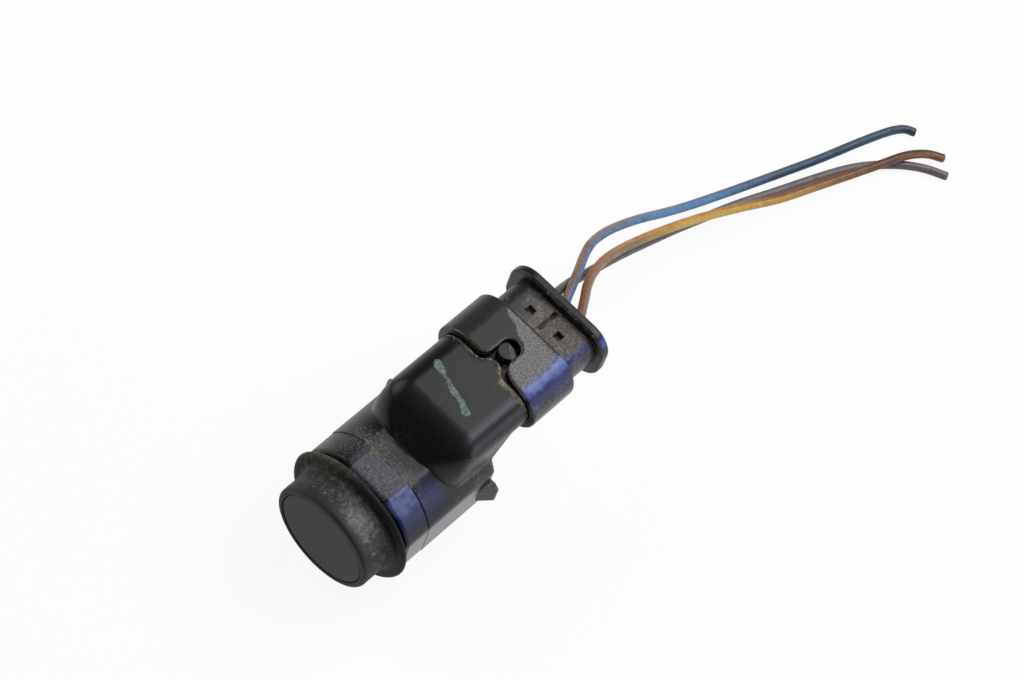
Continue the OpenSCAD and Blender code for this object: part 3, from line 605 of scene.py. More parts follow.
def brushMarks(x, y, b):  # how near a point seen from above is to the brush line, against its width there
    line = np.array(b["line"])
    best = np.zeros_like(x)
    for k in range(len(line) - 1):
        way = line[k + 1] - line[k]
        t = np.clip(((x - line[k, 0]) * way[0] + (y - line[k, 1]) * way[1]) / (way @ way), 0, 1)
        away = np.hypot(x - line[k, 0] - t * way[0], y - line[k, 1] - t * way[1])
        width = b["width"][k] * (1 - t) + b["width"][k + 1] * t
        load = b["load"][k] * (1 - t) + b["load"][k + 1] * t
        best = np.maximum(best, np.clip(1.8 * (1 - away / width), 0, 1) * load)
    return best


housingWear = {  # pairs of place and amount: round by degrees from the top, across by x, along by y
    # the first two tables paint shade and highlight: darker round the left of the barrel and on the left
    # shoulder, lighter on the right shoulder and the right flat
    "toneRound": [(-60, -0.4), (-40, -0.5), (-20, -0.3), (-14, 0), (46, 0), (50, -0.2), (64, -0.2),
                  (74, 0.2)],
    "toneAcross": [(-8.4, 0.1), (-7, 0.1), (-6, -0.4), (-4.8, 0), (4.5, 0), (5.6, 0.05), (6.4, 0.3),
                   (7.4, 0.32), (8.4, 0.3)],
    "dustRound": [(-58, 0.2), (-40, 0.75), (-24, 0.9), (-14, 1), (24, 1), (30, 0.6), (46, 0.5), (54, 0.1)],
    "dustAlong": [(8.7, 0.45), (10.0, 0.45), (11.2, 0.3), (12.2, 0)],
    "sandRound": [(-45, 0), (-28, 0.8), (-10, 1), (18, 1), (28, 0)],
    "rimAlong": [(27.4, 0), (28.1, 0.4), (28.4, 1)],
    "rimAcross": [(-7, 0.65), (-5.5, 0.6), (-4, 0.95), (-2.8, 0.6), (0, 0.45), (2, 0.55), (4, 0.95),
                  (6.5, 0.95), (8, 0.4)],
    # the next two tables place a painted blue reflection
    "bloomRound": [(26, 0), (34, 0.2), (42, 0.34), (48, 0.28), (58, 0.16), (68, 0.08), (74, 0)],
    "bloomAcross": [(4.8, 0), (5.8, 0.03), (7, 0.04), (8.2, 0)],
    # the last value on the next line paints shade on the collar
    "tone": 0.36, "rearTone": 0.12, "collarTone": -0.5,
    "topDust": 0.1, "rearDust": 0.15, "slopeDust": 0.14, "sideDust": 0.3, "rampDust": 0.8,
    "shoulderDust": 0.07, "creaseDust": (0.6, 0.45), "rimDirt": 0.9, "edgeDirt": 0.7, "tongueDirt": 0.55,
    "seamDirt": 0.26, "sandDirt": 0.08, "studDirt": 0.3,
}


def housingMarks(p):  # dark slope, dusty front edge, dirty rim and a smear of paint
    x, y, z = p.T
    w, a = housingWear, turnOf(x, z)
    within = bulgeHalfWidth(y, bulge) + 0.5 - np.abs(x)
    above = smooth(within, 0, 0.9) * smooth(y, 11.8, 12.5) * smooth(z, 7.5, 9.0)
    slope = above * (1 - smooth(y, 15.0, 19.2))
    front = 1 - smooth(y, 12.0, 13.5)
    top = smooth(z, 13.0, 13.5) * smooth(y, 16.0, 19.0)
    high = smooth(z, 11.8, 12.6) * between(y, 15.0, 17.0, 28.66, 28.72)
    side = smooth(np.abs(x), 7.8, 8.4) * smooth(y, 13.0, 15.0) * smooth(z, 2.0, 3.5)
    flank = smooth(np.abs(x), 9.75, 9.85) * (1 - smooth(z, 2.5, 4.0))
    collar = smooth(y, 28.66, 28.72) * (1 - smooth(z, 13.5, 13.62))
    # painted shade and highlight across the shoulders and round the front of the barrel
    tone = w["tone"] * (1 - slope) + plotted(x, w["toneAcross"]) * high + plotted(a, w["toneRound"]) * front
    # the collar in the gap under the sleeve is painted dark, as shade
    tone += w["rearTone"] * top * smooth(y, 25.5, 27.5) + w["collarTone"] * collar
    beside = smooth(np.abs(x - tongue["x"]), 1.9, 2.6)
    rim = plotted(y, w["rimAlong"]) * (1 - smooth(y, 28.62, 28.69)) * smooth(z, 9.0, 12.0) * beside
    edge = between(y, 28.5, 28.7, 30.3, 30.4) * between(z, 13.42, 13.5, 13.67, 13.69)
    inset = tongue["r"] - np.hypot(x - tongue["x"], y - tongue["y"])
    onTongue = smooth(y, 28.6, 28.9) * (1 - smooth(inset, 0.15, 0.8)) * between(z, 13.5, 13.6, 13.7, 13.72)
    edge = np.maximum(edge, w["tongueDirt"] * onTongue)
    stud = 1 - smooth(np.hypot(x - latch["x"], y - latch["y"]), latch["r"] - 0.05, latch["r"] + 0.1)
    ahead = y - latch["y"] + x - latch["x"]
    ramped = stud * between(z, 13.6, 13.8, 14.9, 15.0) * smooth(ahead, 0.1, 0.3)
    wall = smooth(x, 8.2, 8.5)
    upper, lower = w["creaseDust"]
    creases = np.maximum(upper * bell(z, 6.3, 0.22) * wall, lower * bell(z, 3.8, 0.14))
    creases *= wall * between(y, 14.5, 16.5, 21.5, 22.3)
    dust = plotted(y, w["dustAlong"]) * plotted(a, w["dustRound"]) * (1 - above) + creases
    dust += (w["topDust"] + w["rearDust"] * smooth(y, 26.6, 28.4)) * top * (1 - stud) + w["slopeDust"] * slope
    dust += w["sideDust"] * side + w["rampDust"] * ramped
    dust += w["shoulderDust"] * high * soft01(x, 6.0, 8.2, 0.5) * (1 - slope)
    seam = (1 - smooth(y, 8.85, 9.05)) * between(a, *seamSpan)
    sand = (1 - smooth(y, 9.2, 11.4)) * plotted(a, w["sandRound"])
    dirt = w["rimDirt"] * rim * plotted(x, w["rimAcross"]) + w["edgeDirt"] * edge + w["seamDirt"] * seam
    dirt += w["sandDirt"] * sand + w["studDirt"] * stud * (1 - smooth(z, 14.6, 14.9))
    # a painted blue reflection on the front of the barrel and on the shoulder
    bloom = front * (1 - above) * plotted(a, w["bloomRound"]) + high * plotted(x, w["bloomAcross"])
    paint = brushMarks(x, y, brushMark) * smooth(z, 12.8, 13.3)
    return {"tone": tone, "dust": dust, "dirt": dirt, "bloom": bloom, "paint": paint, "polish": flank}


makeHousing(bulge, barrel)

# side barb: a blunt ramp on the right flat, and a small lug on the left one
barbs = {
    "sideBarb": {"side": 1, "rootX": 9.4, "flatX": 9.9, "tipX": 11.6, "heelX": 10.47,
                 "y": (19.5, 21.6, 22.0, 22.4), "z": (-2.3, 0.9), "edge": 0.18},
    "sideLug": {"side": -1, "rootX": 9.4, "flatX": 9.9, "tipX": 11.0, "heelX": 10.2,
                "y": (19.0, 21.5, 22.0, 22.4), "z": (0.8, 2.5), "edge": 0.12},
}


def makeBarb(name, b):  # an outline seen from above, carried from the lower to the upper height
    def marks(p):
        # the top face is painted lighter, a painted highlight laid as tone and dust
        upper = p[:, 2] > b["z"][1] - 0.05
        return {"tone": 0.6 * upper, "dust": 0.7 * upper}

    y0, y1, y2, y3 = b["y"]
    outline = np.array([(b["rootX"], y0), (b["flatX"], y0), (b["tipX"], y1), (b["tipX"], y2),
                        (b["heelX"], y3), (b["rootX"], y3)]) * [b["side"], 1]
    rows = [np.column_stack([outline, np.full(6, z)]) for z in b["z"]]
    caps = [np.column_stack([np.tile(outline.mean(0), (6, 1)), np.full(6, z)]) for z in b["z"]]
    below = rows[1] - [0, 0, 2 * b["edge"]]  # keeps the top's painted highlight, laid as dust and tone, off the ramp
    grid = np.array([caps[0], rows[0], below, rows[1], caps[1]])
    piece = makePiece(name, [(grid, False, True)], housingPlastic, (), marks)
    bevel = piece.modifiers.new("softEdges", "BEVEL")
    bevel.width = b["edge"] * mm
    bevel.segments = 3
    bevel.limit_method = "ANGLE"


for name, values in barbs.items():
    makeBarb(name, values)
print("sensor made")

# plug: sleeve with its keyhole notch, body with pockets and slot, rear flange
sleeve = {"y0": 28.75, "y1": 37.2, "hw": 9.65, "hh": 4.95, "r": 4.85, "z": 10.2, "wall": 1.2, "edge": 0.28,
          "rearEdge": 0.35, "notchX": 0.24, "notchR": 1.6, "notchY": 32.35, "throat": 1.57,
          "mouthRight": (3.8, 2.3), "mouthLeft": (1.6, 1.6), "rearDepth": 3.1, "rearStops": (4.6, 5.1, 6.0)}
body = {"y0": 36.8, "y1": 43.8, "hw": 7.9, "hh": 3.25, "r": 2.6, "z": 9.25, "pocketX": 2.8, "pocketY": 40.5,
        "pocketW": 1.2, "pocketDeep": 1.0, "slotW": 0.45, "slotY": (39.2, 43.1), "slotDeep": 0.5,
        "lockX": 4.45, "lockY": (39.4, 41.3), "lockDeep": 0.5}
tail = {"y0": 43.6, "y1": 45.2, "x": -0.2, "hw": 9.4, "hh": 5.3, "r": 3.9, "z": 8.72, "edge": 0.45,
        "holeHw": 4.15, "holeHh": 1.35, "holeZ": 10.2}


def ovalPath(hw, hh, r, count=900):
    # right half of a rounded rectangle from the top middle to the bottom middle: length, place and normal
    part = count // 3
    upper, lower = arc(hw - r, hh - r, r, 90, 0, part), arc(hw - r, r - hh, r, 0, -90, part)
    path = np.concatenate([[(0, hh)], upper, lower, [(0, -hh)]])
    turn = np.radians(np.concatenate([[90], np.linspace(90, 0, part), np.linspace(0, -90, part), [-90]]))
    length = np.concatenate([[0], np.cumsum(np.linalg.norm(np.diff(path, axis=0), axis=1))])
    return length, path, np.stack([np.cos(turn), np.sin(turn)], 1)


def wrapOn(path, u, y, depth, z, side):  # a flat layout of u and y, bent round the section, sunk in by depth
    length, place, normal = path
    x = np.interp(u, length, place[:, 0]) - depth * np.interp(u, length, normal[:, 0])
    h = np.interp(u, length, place[:, 1]) - depth * np.interp(u, length, normal[:, 1])
    return np.stack([side * x, np.broadcast_to(y, x.shape), z + h], -1)


def keyholeLine(s, half, side):
    # one half of the sleeve's front edge: round notch from the middle line, throat, mouth corner, edge
    c, mouth = side * s["notchX"], s["mouthRight" if side > 0 else "mouthLeft"]
    low = math.degrees(math.acos(s["throat"] / s["notchR"]))
    notch = arc(c, s["notchY"], s["notchR"], math.degrees(math.acos(-c / s["notchR"])), -low, 34)
    straight = np.linspace(notch[-1][1], s["y0"] + mouth[1], 7)[1:]
    throat = np.column_stack([np.full(6, c + s["throat"]), straight])
    corner = arc(0, 0, 1, 180, 270, 14)[1:] * mouth + [c + s["throat"] + mouth[0], s["y0"] + mouth[1]]
    edge = np.column_stack([np.linspace(corner[-1][0], half, 80)[1:], np.full(79, s["y0"])])
    line = np.concatenate([notch, throat, corner, edge])
    stop1, stop2, stop3 = s["rearStops"]  # where the notch, throat and corner end on the rear edge
    rear = np.concatenate([np.linspace(0, stop1, 34), np.linspace(stop1, stop2, 7)[1:],
                           np.linspace(stop2, stop3, 14)[1:], np.linspace(stop3, half, 80)[1:]])
    away = np.gradient(line, axis=0)
    away = np.stack([-away[:, 1], away[:, 0]], 1)
    away /= np.linalg.norm(away, axis=1)[:, None]
    return line, away, rear


def sleeveSheet(s, side):
    # rows: inside wall, notch wall, rounded front edge, outside from front edge to rear edge, rear face
    path = ovalPath(s["hw"], s["hh"], s["r"])
    line, away, rear = keyholeLine(s, path[0][-1], side)
    e, q = s["edge"], s["rearEdge"]
    rows = [(line + away * 1.6, s["wall"]), (line + away * 0.1, s["wall"]), (line, s["wall"] - 0.1),
            (line, e)]
    for b in np.linspace(0, np.pi / 2, 7)[1:]:
        rows.append((line + away * e * (1 - math.cos(b)), e * (1 - math.sin(b))))
    first = line + away * e
    last = np.column_stack([rear, np.full(len(rear), s["y1"] - q)])
    for k in np.linspace(0, 1, 26)[1:]:
        rows.append((first + (last - first) * k, 0.0))
    for b in np.linspace(0, np.pi / 2, 7)[1:]:
        rows.append((last + [0, q * math.sin(b)], q * (1 - math.cos(b))))
    for depth in (1.0, 2.0, s["rearDepth"]):
        rows.append((last + [0, q], depth))
    spread = np.array([np.clip(uv[:, 0], 0, path[0][-1]) for uv, depth in rows])
    spread[:, 0] = 0  # both halves meet on the middle line
    grid = [wrapOn(path, u, uv[:, 1], depth, s["z"], side) for u, (uv, depth) in zip(spread, rows)]
    return np.array(grid), False, False


def bodySheet(b, side):  # wall of the body, sunk in at the pockets, the slot and the lock's window
    path = ovalPath(b["hw"], b["hh"], b["r"])
    half = path[0][-1]
    # closer together where it is sunk in
    u = np.concatenate([np.arange(0, 4.2, 0.06), np.linspace(4.2, half - 4.8, 40),
                        np.linspace(half - 4.7, half, 50)])
    y = np.concatenate([np.linspace(b["y0"], 39.0, 8), np.arange(39.06, 43.4, 0.06),
                        np.linspace(43.4, b["y1"], 6)])
    u, y = np.meshgrid(u, y, indexing="ij")
    w = b["pocketW"] / 2
    pocket = soft01(u, b["pocketX"] - w, b["pocketX"] + w, 0.07)
    pocket *= soft01(y, b["pocketY"] - w, b["pocketY"] + w, 0.07)
    slot = soft01(u, -1, b["slotW"] / 2, 0.2) * soft01(y, *b["slotY"], 0.06)
    window = soft01(half - u, -1, b["lockX"], 0.05) * soft01(y, *b["lockY"], 0.05)
    depth = np.maximum(np.maximum(b["pocketDeep"] * pocket, b["slotDeep"] * slot), b["lockDeep"] * window)
    return wrapOn(path, u, y, depth, b["z"], side), False, False


def tailSheet(t, side):  # front face, round edge, rear face, then the hole for the wires
    path, hole = ovalPath(t["hw"], t["hh"], t["r"]), ovalPath(t["holeHw"], t["holeHh"], t["holeHh"] - 0.1)
    share = np.concatenate([np.linspace(0, 0.25, 30)[:-1], np.linspace(0.25, 0.75, 70)[:-1],
                            np.linspace(0.75, 1, 30)])
    u, e = share * path[0][-1], t["edge"]
    rows = [(3.6, t["y0"]), (2.4, t["y0"]), (1.2, t["y0"]), (e + 0.1, t["y0"])]
    rows += [(e * (1 - math.sin(b)), t["y0"] + e * (1 - math.cos(b))) for b in np.linspace(0, math.pi / 2, 6)]
    rows += [(e * (1 - math.cos(b)), t["y1"] - e * (1 - math.sin(b))) for b in np.linspace(0, math.pi / 2, 6)]
    rows += [(1.2, t["y1"])]
    grid = [wrapOn(path, u, np.full(len(u), y), depth, t["z"], side) + [t["x"], 0, 0] for depth, y in rows]
    for y in (t["y1"], t["y1"] - 0.1, t["y1"] - 1.0):
        grid.append(wrapOn(hole, share * hole[0][-1], np.full(len(u), y), 0.0, t["holeZ"], side))
    return np.array(grid), False, False


plugWear = {  # pairs of place and amount: across by x, round by degrees from the top of the right end
    "dustLine": [(-4.8, 36.6), (-4.2, 36.3), (-3, 35.9), (-1.8, 35.6), (-1.3, 35.1), (-0.4, 34.6),
                 (0.9, 34.4), (2, 33.5)],  # the dust starts behind this y
    # the next two tables paint shade and highlight across the sleeve and round its right end
    "toneAcross": [(-8.5, 1), (-7, 1), (-5.4, 0.9), (-4, 0.6), (4.8, 0.7)],
    "toneRound": [(0, 1), (40, 0.7), (60, 1), (75, 1.4)],
    # the next table places a painted blue reflection round the sleeve's right end
    "bloomRound": [(3, 0), (8, 0.5), (15, 0.85), (22, 1), (29, 0.9), (36, 0.6), (42, 0.45), (50, 0.35),
                   (60, 0.2), (75, 0.1)],
    "bodySpread": [(-7.4, 0.4), (-6, 0.25), (-5, 0.35), (-3.5, 0.5), (-2, 0.6), (-0.8, 0.8), (1, 0.65),
                   (5, 0.7), (5.8, 0.5), (6.8, 0.2)],
    # the next two tables place a painted blue reflection on the body and the tail
    "bodyBloom": [(5.4, 0), (6, 0.6), (6.5, 0.5), (7, 0.3), (7.6, 0.1), (7.9, 0)],
    "tailBloom": [(20, 0), (35, 0.7), (50, 0.8), (65, 0.3), (80, 0)],
    "sleeveEnd": (4.8, 10.3), "tailEnd": (5.3, 10.1),  # x and z of the middle of the right end
    "thinDust": 0.08, "fullDust": 0.82, "lipDust": 0.45, "endDust": 0.37, "bodyDust": 0.6, "wallDust": 0.25,
    "tailDust": 0.05, "bodyDirt": 0.75, "pocketDirt": 0.75, "slotDirt": 0.5, "tailDirt": 0.42,
    "bandCleaner": 0.27,
}


def plugMarks(p):  # dust on the right of the sleeve, a painted blue reflection round its end, brown dirt on the body
    x, y, z = p.T
    w, (endX, endZ), (tailX, tailZ) = plugWear, plugWear["sleeveEnd"], plugWear["tailEnd"]
    onSleeve = 1 - smooth(y, 37.2, 37.35)
    theta = turnOf(x - endX, z - endZ) * (x > endX)
    behind = smooth(y - plotted(x, w["dustLine"]), -0.35, 0.5) * smooth(x, -5.2, -3.8)
    dusty = np.maximum(smooth(x, 1.9, 2.3), behind)
    # the rear edge is kept bare of dust, a painted shadow line
    up = smooth(z, 14.2, 14.9) * (1 - smooth(theta, 6, 22)) * (1 - smooth(y, 36.75, 36.9))
    out = np.hypot(np.maximum(np.abs(x) - endX, 0), z - endZ)
    lip = between(out, 4.55, 4.62, 4.8, 4.84) * (1 - smooth(y, 34.5, 35.0)) * smooth(z, 12.0, 13.0)
    worn = 1 - 0.45 * smooth(y, 35.9, 36.6) * smooth(x, -1, 1.5)
    sleeveDust = up * (w["thinDust"] + w["fullDust"] * dusty * worn) + w["lipDust"] * lip
    sleeveDust += w["endDust"] * soft01(theta, 48, 85, 12)
    # painted shade and highlight on the sleeve
    sleeveTone = plotted(x, w["toneAcross"]) * plotted(theta, w["toneRound"])
    sleevePaintedReflection = plotted(theta, w["bloomRound"]) * smooth(z, 9.5, 11.0)
    onBody = between(y, 37.25, 37.4, 43.5, 43.62)
    bodyUp = smooth(z, 12.1, 12.4)
    slot = (1 - smooth(np.abs(x), 0.3, 0.45)) * between(y, 39.1, 39.25, 43.0, 43.15)
    away = np.maximum(np.abs(np.abs(x) - body["pocketX"]), np.abs(y - body["pocketY"]))
    inPocket = 1 - smooth(away, 0.5, 0.62)
    outsideRecesses = 1 - np.maximum(slot, inPocket)
    spread = bodyUp * plotted(x, w["bodySpread"]) * outsideRecesses
    # painted shade: darker in the slot and the pockets, and in a band on the left of the top
    bodyTone = 1 - 0.2 * soft01(x, -6.8, -5.2, 0.5) - 0.7 * (1 - outsideRecesses)
    bodyBloom = plotted(x, w["bodyBloom"]) * smooth(z, 11.0, 11.8)
    onTail = smooth(y, 43.55, 43.65)
    band = smooth(y, 43.75, 43.95)
    tailTurn = turnOf(x - tailX, z - tailZ) * (x > tailX)
    tailBloom = band * plotted(tailTurn, w["tailBloom"])
    bodyDust = w["bodyDust"] * spread + w["wallDust"] * (1 - bodyUp) * outsideRecesses
    dust = onSleeve * sleeveDust + onBody * bodyDust + onTail * band * w["tailDust"]
    bodyDirt = w["bodyDirt"] * spread + w["pocketDirt"] * inPocket + w["slotDirt"] * slot
    dirt = onBody * bodyDirt + onTail * (w["tailDirt"] - w["bandCleaner"] * band)
    # the tail's front face is painted darker than its rim band, as shade
    tone = onSleeve * sleeveTone + onBody * bodyTone + onTail * (0.1 + 0.25 * band)
    # a painted blue reflection on the sleeve, the body and the tail
    bloom = onSleeve * sleevePaintedReflection + onBody * bodyBloom + onTail * tailBloom
    polish = 0.6 * onSleeve * smooth(theta, 55, 75)
    return {"tone": tone, "dust": dust, "dirt": dirt, "bloom": bloom, "polish": polish}


sheets = [make(values, side) for make, values in ((sleeveSheet, sleeve), (bodySheet, body), (tailSheet, tail))
          for side in (1, -1)]
makePiece("plugShell", sheets, plugPlastic, ("plug_housing",), plugMarks)
print("plug made")

# wires: the routes of the part's source, in millimetres, out of the plug, down and along the floor
routes = {
    "grey": [
        (-2.8, 41.7, 10.2), (-2.8, 43.8, 10.2), (-2.8, 45.8, 10.2), (-3.1, 48, 9.4), (-3.4, 50.6, 7.8),
        (-3.5, 53.5, 6.2), (-3.5, 57.5, 4.2), (-3.5, 62, 2), (-3.4, 67, -0.6), (-3.1, 72, -3),
        (-2.6, 78, -5.6), (-1.6, 85, -8.1), (0, 92.2, -9.6), (2.2, 98.8, -10.2), (4.7, 105.6, -10.2),
        (7, 111.2, -10.2), (9.2, 115, -10.2), (12, 118.6, -10.2), (15.2, 121.4, -10.2), (18.7, 123.3, -10.2)],
    "blue": [
        (0, 41.7, 10.2), (0, 43.8, 10.2), (0, 45.3, 10.2), (-0.35, 46, 10.2), (-1.15, 47.1, 10.1),
        (-2.4, 49.9, 9.7), (-3.7, 52.8, 8.9), (-5.1, 55.8, 7.7), (-6.3, 59.2, 6.2), (-6.8, 63.2, 4.2),
        (-6.7, 67.7, 1.8), (-6.1, 72.7, -0.8), (-5.2, 77.4, -3.2), (-4.2, 82.7, -5.6), (-3, 88.7, -7.7),
        (-1.6, 94.7, -9.2), (0.4, 101.7, -10), (2.8, 109.2, -10.2), (5, 116.7, -10.2), (6.8, 122.1, -10.2),
        (8.2, 124.6, -10.2), (9.8, 125.6, -10.2)],
    "yellow": [
        (2.8, 41.7, 10.2), (2.8, 43.8, 10.2), (2.8, 45.3, 10.2), (2.5, 46, 10.2), (1.8, 47.2, 10.1),
        (0.4, 49.5, 9.7), (-1.1, 52, 9), (-2.25, 54.9, 7.9), (-3, 58.4, 6.4), (-3.2, 62.3, 4.7),
        (-3, 66.8, 2.6), (-2.5, 71.7, 0.5), (-1.7, 77.2, -1.8), (-0.4, 83.2, -4), (1.6, 89.8, -6),
        (4.2, 96.8, -7.5), (6.6, 104.2, -8.2), (8.8, 110.5, -8.4), (10.5, 115.3, -8.4), (12.1, 119.9, -8.6),
        (13.9, 123.5, -9.6), (16.1, 125.5, -10.2)],
}
wire = {"d": 1.45, "sides": 16, "perSpan": 7, "exitY": 45.2, "exitZ": 10.2, "endRound": 0.12, "core": 0.42}


def smoothRoute(points, perSpan):  # a curve through the points whose tangents follow their neighbours
    p = np.asarray(points, float)
    p = np.concatenate([[2 * p[0] - p[1]], p, [2 * p[-1] - p[-2]]])
    t = np.arange(0, 1, 1 / perSpan)[None, :, None]
    a, b, c, d = (p[i:len(p) - 3 + i][:, None, :] for i in range(4))
    bend, twist = 2 * a - 5 * b + 4 * c - d, 3 * b - a - 3 * c + d
    line = 0.5 * (2 * b + (c - a) * t + bend * t ** 2 + twist * t ** 3)
    return np.concatenate([line.reshape(-1, 3), p[-2:-1]])


def makeWire(name, points, look, w):  # a ring of points across the route at each step, closed by cut ends
    line = smoothRoute(points, w["perSpan"])
    heading = np.gradient(line, axis=0)
    heading /= np.linalg.norm(heading, axis=1)[:, None]
    sideways = np.cross(heading, (0, 0, 1.0))
    sideways /= np.linalg.norm(sideways, axis=1)[:, None]
    upward = np.cross(sideways, heading)
    a = np.linspace(0, 2 * np.pi, w["sides"], endpoint=False)
    ring = np.cos(a)[None, :, None] * sideways[:, None] + np.sin(a)[None, :, None] * upward[:, None]
    r = w["d"] / 2
    tube = line[:, None] + ring * r
    stops = []
    for at, way in ((0, -1), (-1, 1)):  # rounded cut ends with the strands in the middle
        stops.append([line[at] + ring[at] * (r - w["endRound"]) + heading[at] * way * w["endRound"],
                      line[at] + ring[at] * w["core"] + heading[at] * way * w["endRound"],
                      line[at] + ring[at] * 0.01 + heading[at] * way * (w["endRound"] + 0.1)])
    grid = np.concatenate([stops[0][::-1], tube, stops[1]])
    travel = np.concatenate([[0], np.cumsum(np.linalg.norm(np.diff(line, axis=0), axis=1))])
    along = np.concatenate([[0] * 3, travel / travel[-1], [1] * 3])
    core = np.zeros(grid.shape[:2])
    core[[0, 1, -2, -1]] = 1
    stripe = np.cos(a - look["stripeAt"])

    def marks(p):
        return {"along": np.repeat(along, w["sides"]), "core": core.ravel(),
                "stripe": np.tile(stripe * 0.5 + 0.5, len(along))}

    piece = makePiece(name, [(grid, False, True)], wireMaterial(name, look), (name,), marks, sharp=60)
    print(name, "is", round(float(travel[-1]), 1), "mm long")


def lengthColor(tree, along, stops):  # colours that change along the wire
    node = put(tree, "ValToRGB", {"Fac": along})
    marks = node.color_ramp.elements
    for k, (at, color) in enumerate(stops):
        stop = marks[k] if k < 2 else marks.new(at)
        stop.position = at
        stop.color = srgb(*color)
    return node.outputs["Color"]


sheathFinish = {"roughness": 0.42, "specular": 0.4, "patchScale": 420.0, "fineScale": 2600.0,
                "stripeSoft": 0.14, "soilCover": 0.4, "strands": srgb(150, 96, 60), "bump": 0.2,
                "bumpDepth": 0.00008}


def wireMaterial(name, look):  # colours along the wire, a ragged stripe of another colour, soil in patches
    f = sheathFinish
    material, tree, shader = newMaterial(name + "Sheath", f["roughness"], f["specular"])
    place = put(tree, "TexCoord").outputs["Object"]
    patches = noise(tree, place, f["patchScale"], 4.0, 0.65)
    fine = noise(tree, place, f["fineScale"], 2.0)
    wander = calc(tree, "MULTIPLY_ADD", patches, 0.12, -0.06)
    along = calc(tree, "ADD", mark(tree, "along"), wander)
    color = lengthColor(tree, along, look["sheath"])
    ragged = calc(tree, "ADD", mark(tree, "stripe"), calc(tree, "MULTIPLY", patches, 0.2))
    band = ramp(tree, ragged, look["stripeFrom"], look["stripeFrom"] + f["stripeSoft"])
    color = mixColor(tree, band, color, lengthColor(tree, along, look["upper"]))
    soiled = ramp(tree, patches, 0.52, 0.74)
    color = mixColor(tree, calc(tree, "MULTIPLY", soiled, f["soilCover"]), color, look["soil"])
    color = mixColor(tree, 1.0, color, remap(tree, fine, 0.25, 0.75, 0.78, 1.2), "MULTIPLY")
    color = mixColor(tree, mark(tree, "core"), color, f["strands"])
    tree.links.new(color, shader.inputs["Base Color"])
    tree.links.new(calc(tree, "MULTIPLY_ADD", soiled, 0.3, 0.4), shader.inputs["Roughness"])
    addBump(tree, shader, f["bump"], f["bumpDepth"], patches)
    return material


wireLooks = {
    "blue": {"sheath": [(0.1, (96, 112, 140)), (0.3, (100, 120, 150)), (0.4, (92, 140, 186)),
                        (0.56, (90, 138, 186)), (0.7, (46, 72, 92)), (0.78, (40, 76, 104)),
                        (0.97, (46, 72, 88))],
             "upper": [(0.1, (142, 108, 84)), (0.27, (150, 112, 86)), (0.42, (122, 122, 136)),
                       (0.62, (96, 108, 122)), (0.8, (70, 84, 92))],
             "stripeAt": 2.2, "stripeFrom": 0.92, "soil": srgb(44, 54, 62)},
    "yellow": {"sheath": [(0.1, (128, 112, 104)), (0.2, (138, 118, 100)), (0.3, (134, 114, 66)),
                          (0.44, (204, 164, 74)), (0.62, (196, 150, 64)), (0.8, (124, 84, 38)),
                          (0.88, (82, 50, 24)), (0.97, (136, 88, 54))],
               "upper": [(0.1, (134, 88, 60)), (0.25, (184, 124, 78)), (0.45, (200, 142, 78)),
                         (0.66, (142, 90, 50)), (0.9, (88, 58, 38))],
               "stripeAt": 2.2, "stripeFrom": 0.88, "soil": srgb(96, 72, 44)},
    "grey": {"sheath": [(0.1, (62, 56, 48)), (0.18, (84, 84, 74)), (0.3, (92, 88, 84)), (0.7, (100, 92, 86)),
                        (1.0, (100, 92, 91))],
             "upper": [(0.1, (92, 92, 86)), (0.5, (116, 112, 108)), (1.0, (112, 105, 103))],
             "stripeAt": 2.2, "stripeFrom": 0.8, "soil": srgb(66, 60, 56)},
}
for color, points in routes.items():
    makeWire("wire_" + color, points, wireLooks[color], wire)

# nodes that stay: colour, roughness, metallic and grain scale of each one's finish
nodeLooks = {
    "potting_cap": ((30, 29, 30), 0.35, 0.0, 900.0), "seal_retainer": ((44, 43, 45), 0.5, 0.0, 3000.0),
    "terminal_lock": ((96, 74, 120), 0.5, 0.0, 3000.0), "wire_seal": ((138, 84, 60), 0.7, 0.0, 2000.0),
    "plug_seal": ((122, 58, 52), 0.7, 0.0, 2000.0), "circuit_board": ((40, 100, 64), 0.45, 0.0, 1200.0),
    "control_chip": ((36, 36, 40), 0.55, 0.0, 3000.0), "transformer": ((78, 62, 50), 0.6, 0.0, 1500.0),
    "capacitors": ((150, 128, 100), 0.5, 0.0, 1500.0), "piezo_disc": ((210, 200, 178), 0.5, 0.0, 1500.0),
    "damping_foam": ((196, 190, 172), 0.9, 0.0, 1800.0), "piezo_leads": ((176, 106, 58), 0.3, 1.0, 1500.0),
    "contact_pin": ((200, 178, 122), 0.3, 1.0, 1500.0), "terminal": ((184, 181, 172), 0.3, 1.0, 1500.0),
}


nodeFinish = {"specular": 0.5, "coarse": 0.5, "deep": 0.7, "bump": 0.2, "bumpDepth": 0.00005}


def nodeMaterial(name, color, roughness, metallic, scale):  # one colour, deeper in slow patches, with grain
    f = nodeFinish
    material, tree, shader = newMaterial(name + "Finish", roughness, f["specular"], metallic)
    place = put(tree, "TexCoord").outputs["Object"]
    grain = groupNode(tree, grainGroup, {"Vector": place, "Scale": scale, "Coarse": f["coarse"]})
    base = srgb(*color)
    deep = tuple(v * f["deep"] for v in base[:3]) + (1.0,)
    shade = mixColor(tree, ramp(tree, grain.outputs["Tone"], 0.35, 0.65), base, deep)
    tree.links.new(shade, shader.inputs["Base Color"])
    addBump(tree, shader, f["bump"], f["bumpDepth"], grain.outputs["Height"])
    return material


def dressNodes(looks):
    made = {name: nodeMaterial(name, *values) for name, values in looks.items()}
    for name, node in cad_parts.items():
        if node.hide_render:
            continue
        key = name if name in made else name.rsplit("_", 1)[0]
        node.data.materials.clear()
        node.data.materials.append(made[key])


dressNodes(nodeLooks)
print("wires and inner nodes made")

# floor and light
stage = {"floorZ": -11.02, "size": 3000.0, "white": srgb(250, 250, 250), "shown": 0.92, "room": 0.15,
         "aim": (0, 25, 4)}


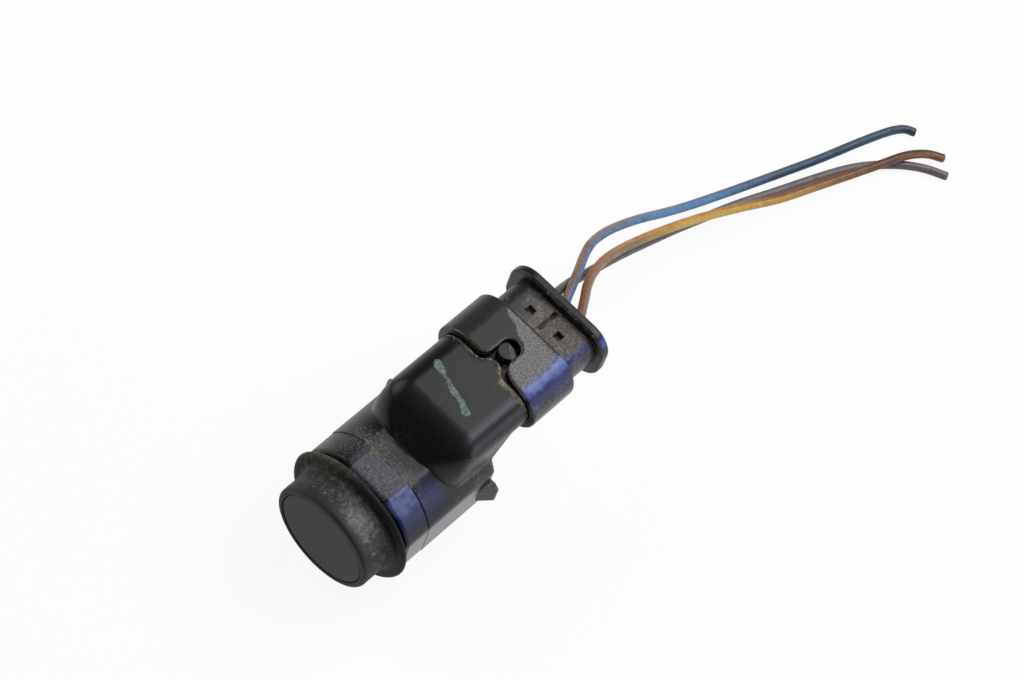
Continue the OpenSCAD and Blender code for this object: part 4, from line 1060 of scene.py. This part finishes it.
def addFloor(s):
    h, z = s["size"] / 2 * mm, s["floorZ"] * mm
    mesh = bpy.data.meshes.new("floor")
    mesh.from_pydata([(-h, -h, z), (h, -h, z), (h, h, z), (-h, h, z)], [], [(0, 1, 2, 3)])
    material = bpy.data.materials.new("paleFloor")
    material.use_nodes = True
    tree = material.node_tree
    tree.nodes.clear()
    paper = put(tree, "BsdfDiffuse", {"Color": s["white"]})
    glow = put(tree, "Emission", {"Color": (1, 1, 1, 1), "Strength": 1.0})
    seen = put(tree, "LightPath").outputs
    direct = calc(tree, "MAXIMUM", seen["Is Camera Ray"], seen["Is Glossy Ray"])
    direct = calc(tree, "MAXIMUM", direct, seen["Is Transmission Ray"])
    shown = calc(tree, "MULTIPLY", direct, s["shown"])
    blend = put(tree, "MixShader", {0: shown, 1: paper.outputs[0], 2: glow.outputs[0]})
    put(tree, "OutputMaterial", {"Surface": blend.outputs[0]})
    mesh.materials.append(material)
    floor = bpy.data.objects.new("floor", mesh)
    scene.collection.objects.link(floor)


lamps = {
    "topLamp": {"at": (60, 300, 420), "size": 380, "power": 1.65, "color": (1.0, 0.99, 0.97)},
    "leftLamp": {"at": (-420, -60, 300), "size": 300, "power": 0.7, "color": (1.0, 1.0, 1.0)},
    "skyLamp": {"at": (155, 210, 330), "size": 120, "power": 0.25, "color": (0.62, 0.7, 1.0)},
    "rightLamp": {"at": (420, 240, 110), "size": 260, "power": 0.52, "color": (0.8, 0.86, 1.0)},
}


def addLamps(rows, aim):
    for name, row in rows.items():
        data = bpy.data.lights.new(name, "AREA")
        data.size = row["size"] * mm
        data.energy = row["power"]
        data.color = row["color"]
        lamp = bpy.data.objects.new(name, data)
        lamp.location = [v * mm for v in row["at"]]
        away = Vector(row["at"]) - Vector(aim)
        lamp.rotation_euler = away.to_track_quat("Z", "Y").to_euler()
        scene.collection.objects.link(lamp)


def addWorld(strength):
    world = bpy.data.worlds.new("softRoom")
    world.use_nodes = True
    scene.world = world
    tree = world.node_tree
    tree.nodes.clear()
    seen = put(tree, "LightPath").outputs["Is Camera Ray"]
    room = put(tree, "Background", {"Color": (1, 1, 1, 1), "Strength": strength})
    shown = put(tree, "Background", {"Color": (1, 1, 1, 1), "Strength": 1.0})
    blend = put(tree, "MixShader", {0: seen, 1: room.outputs[0], 2: shown.outputs[0]})
    put(tree, "OutputWorld", {"Surface": blend.outputs[0]})


addFloor(stage)
addLamps(lamps, stage["aim"])
addWorld(stage["room"])
scene.view_settings.view_transform = "Standard"
print("stage made")
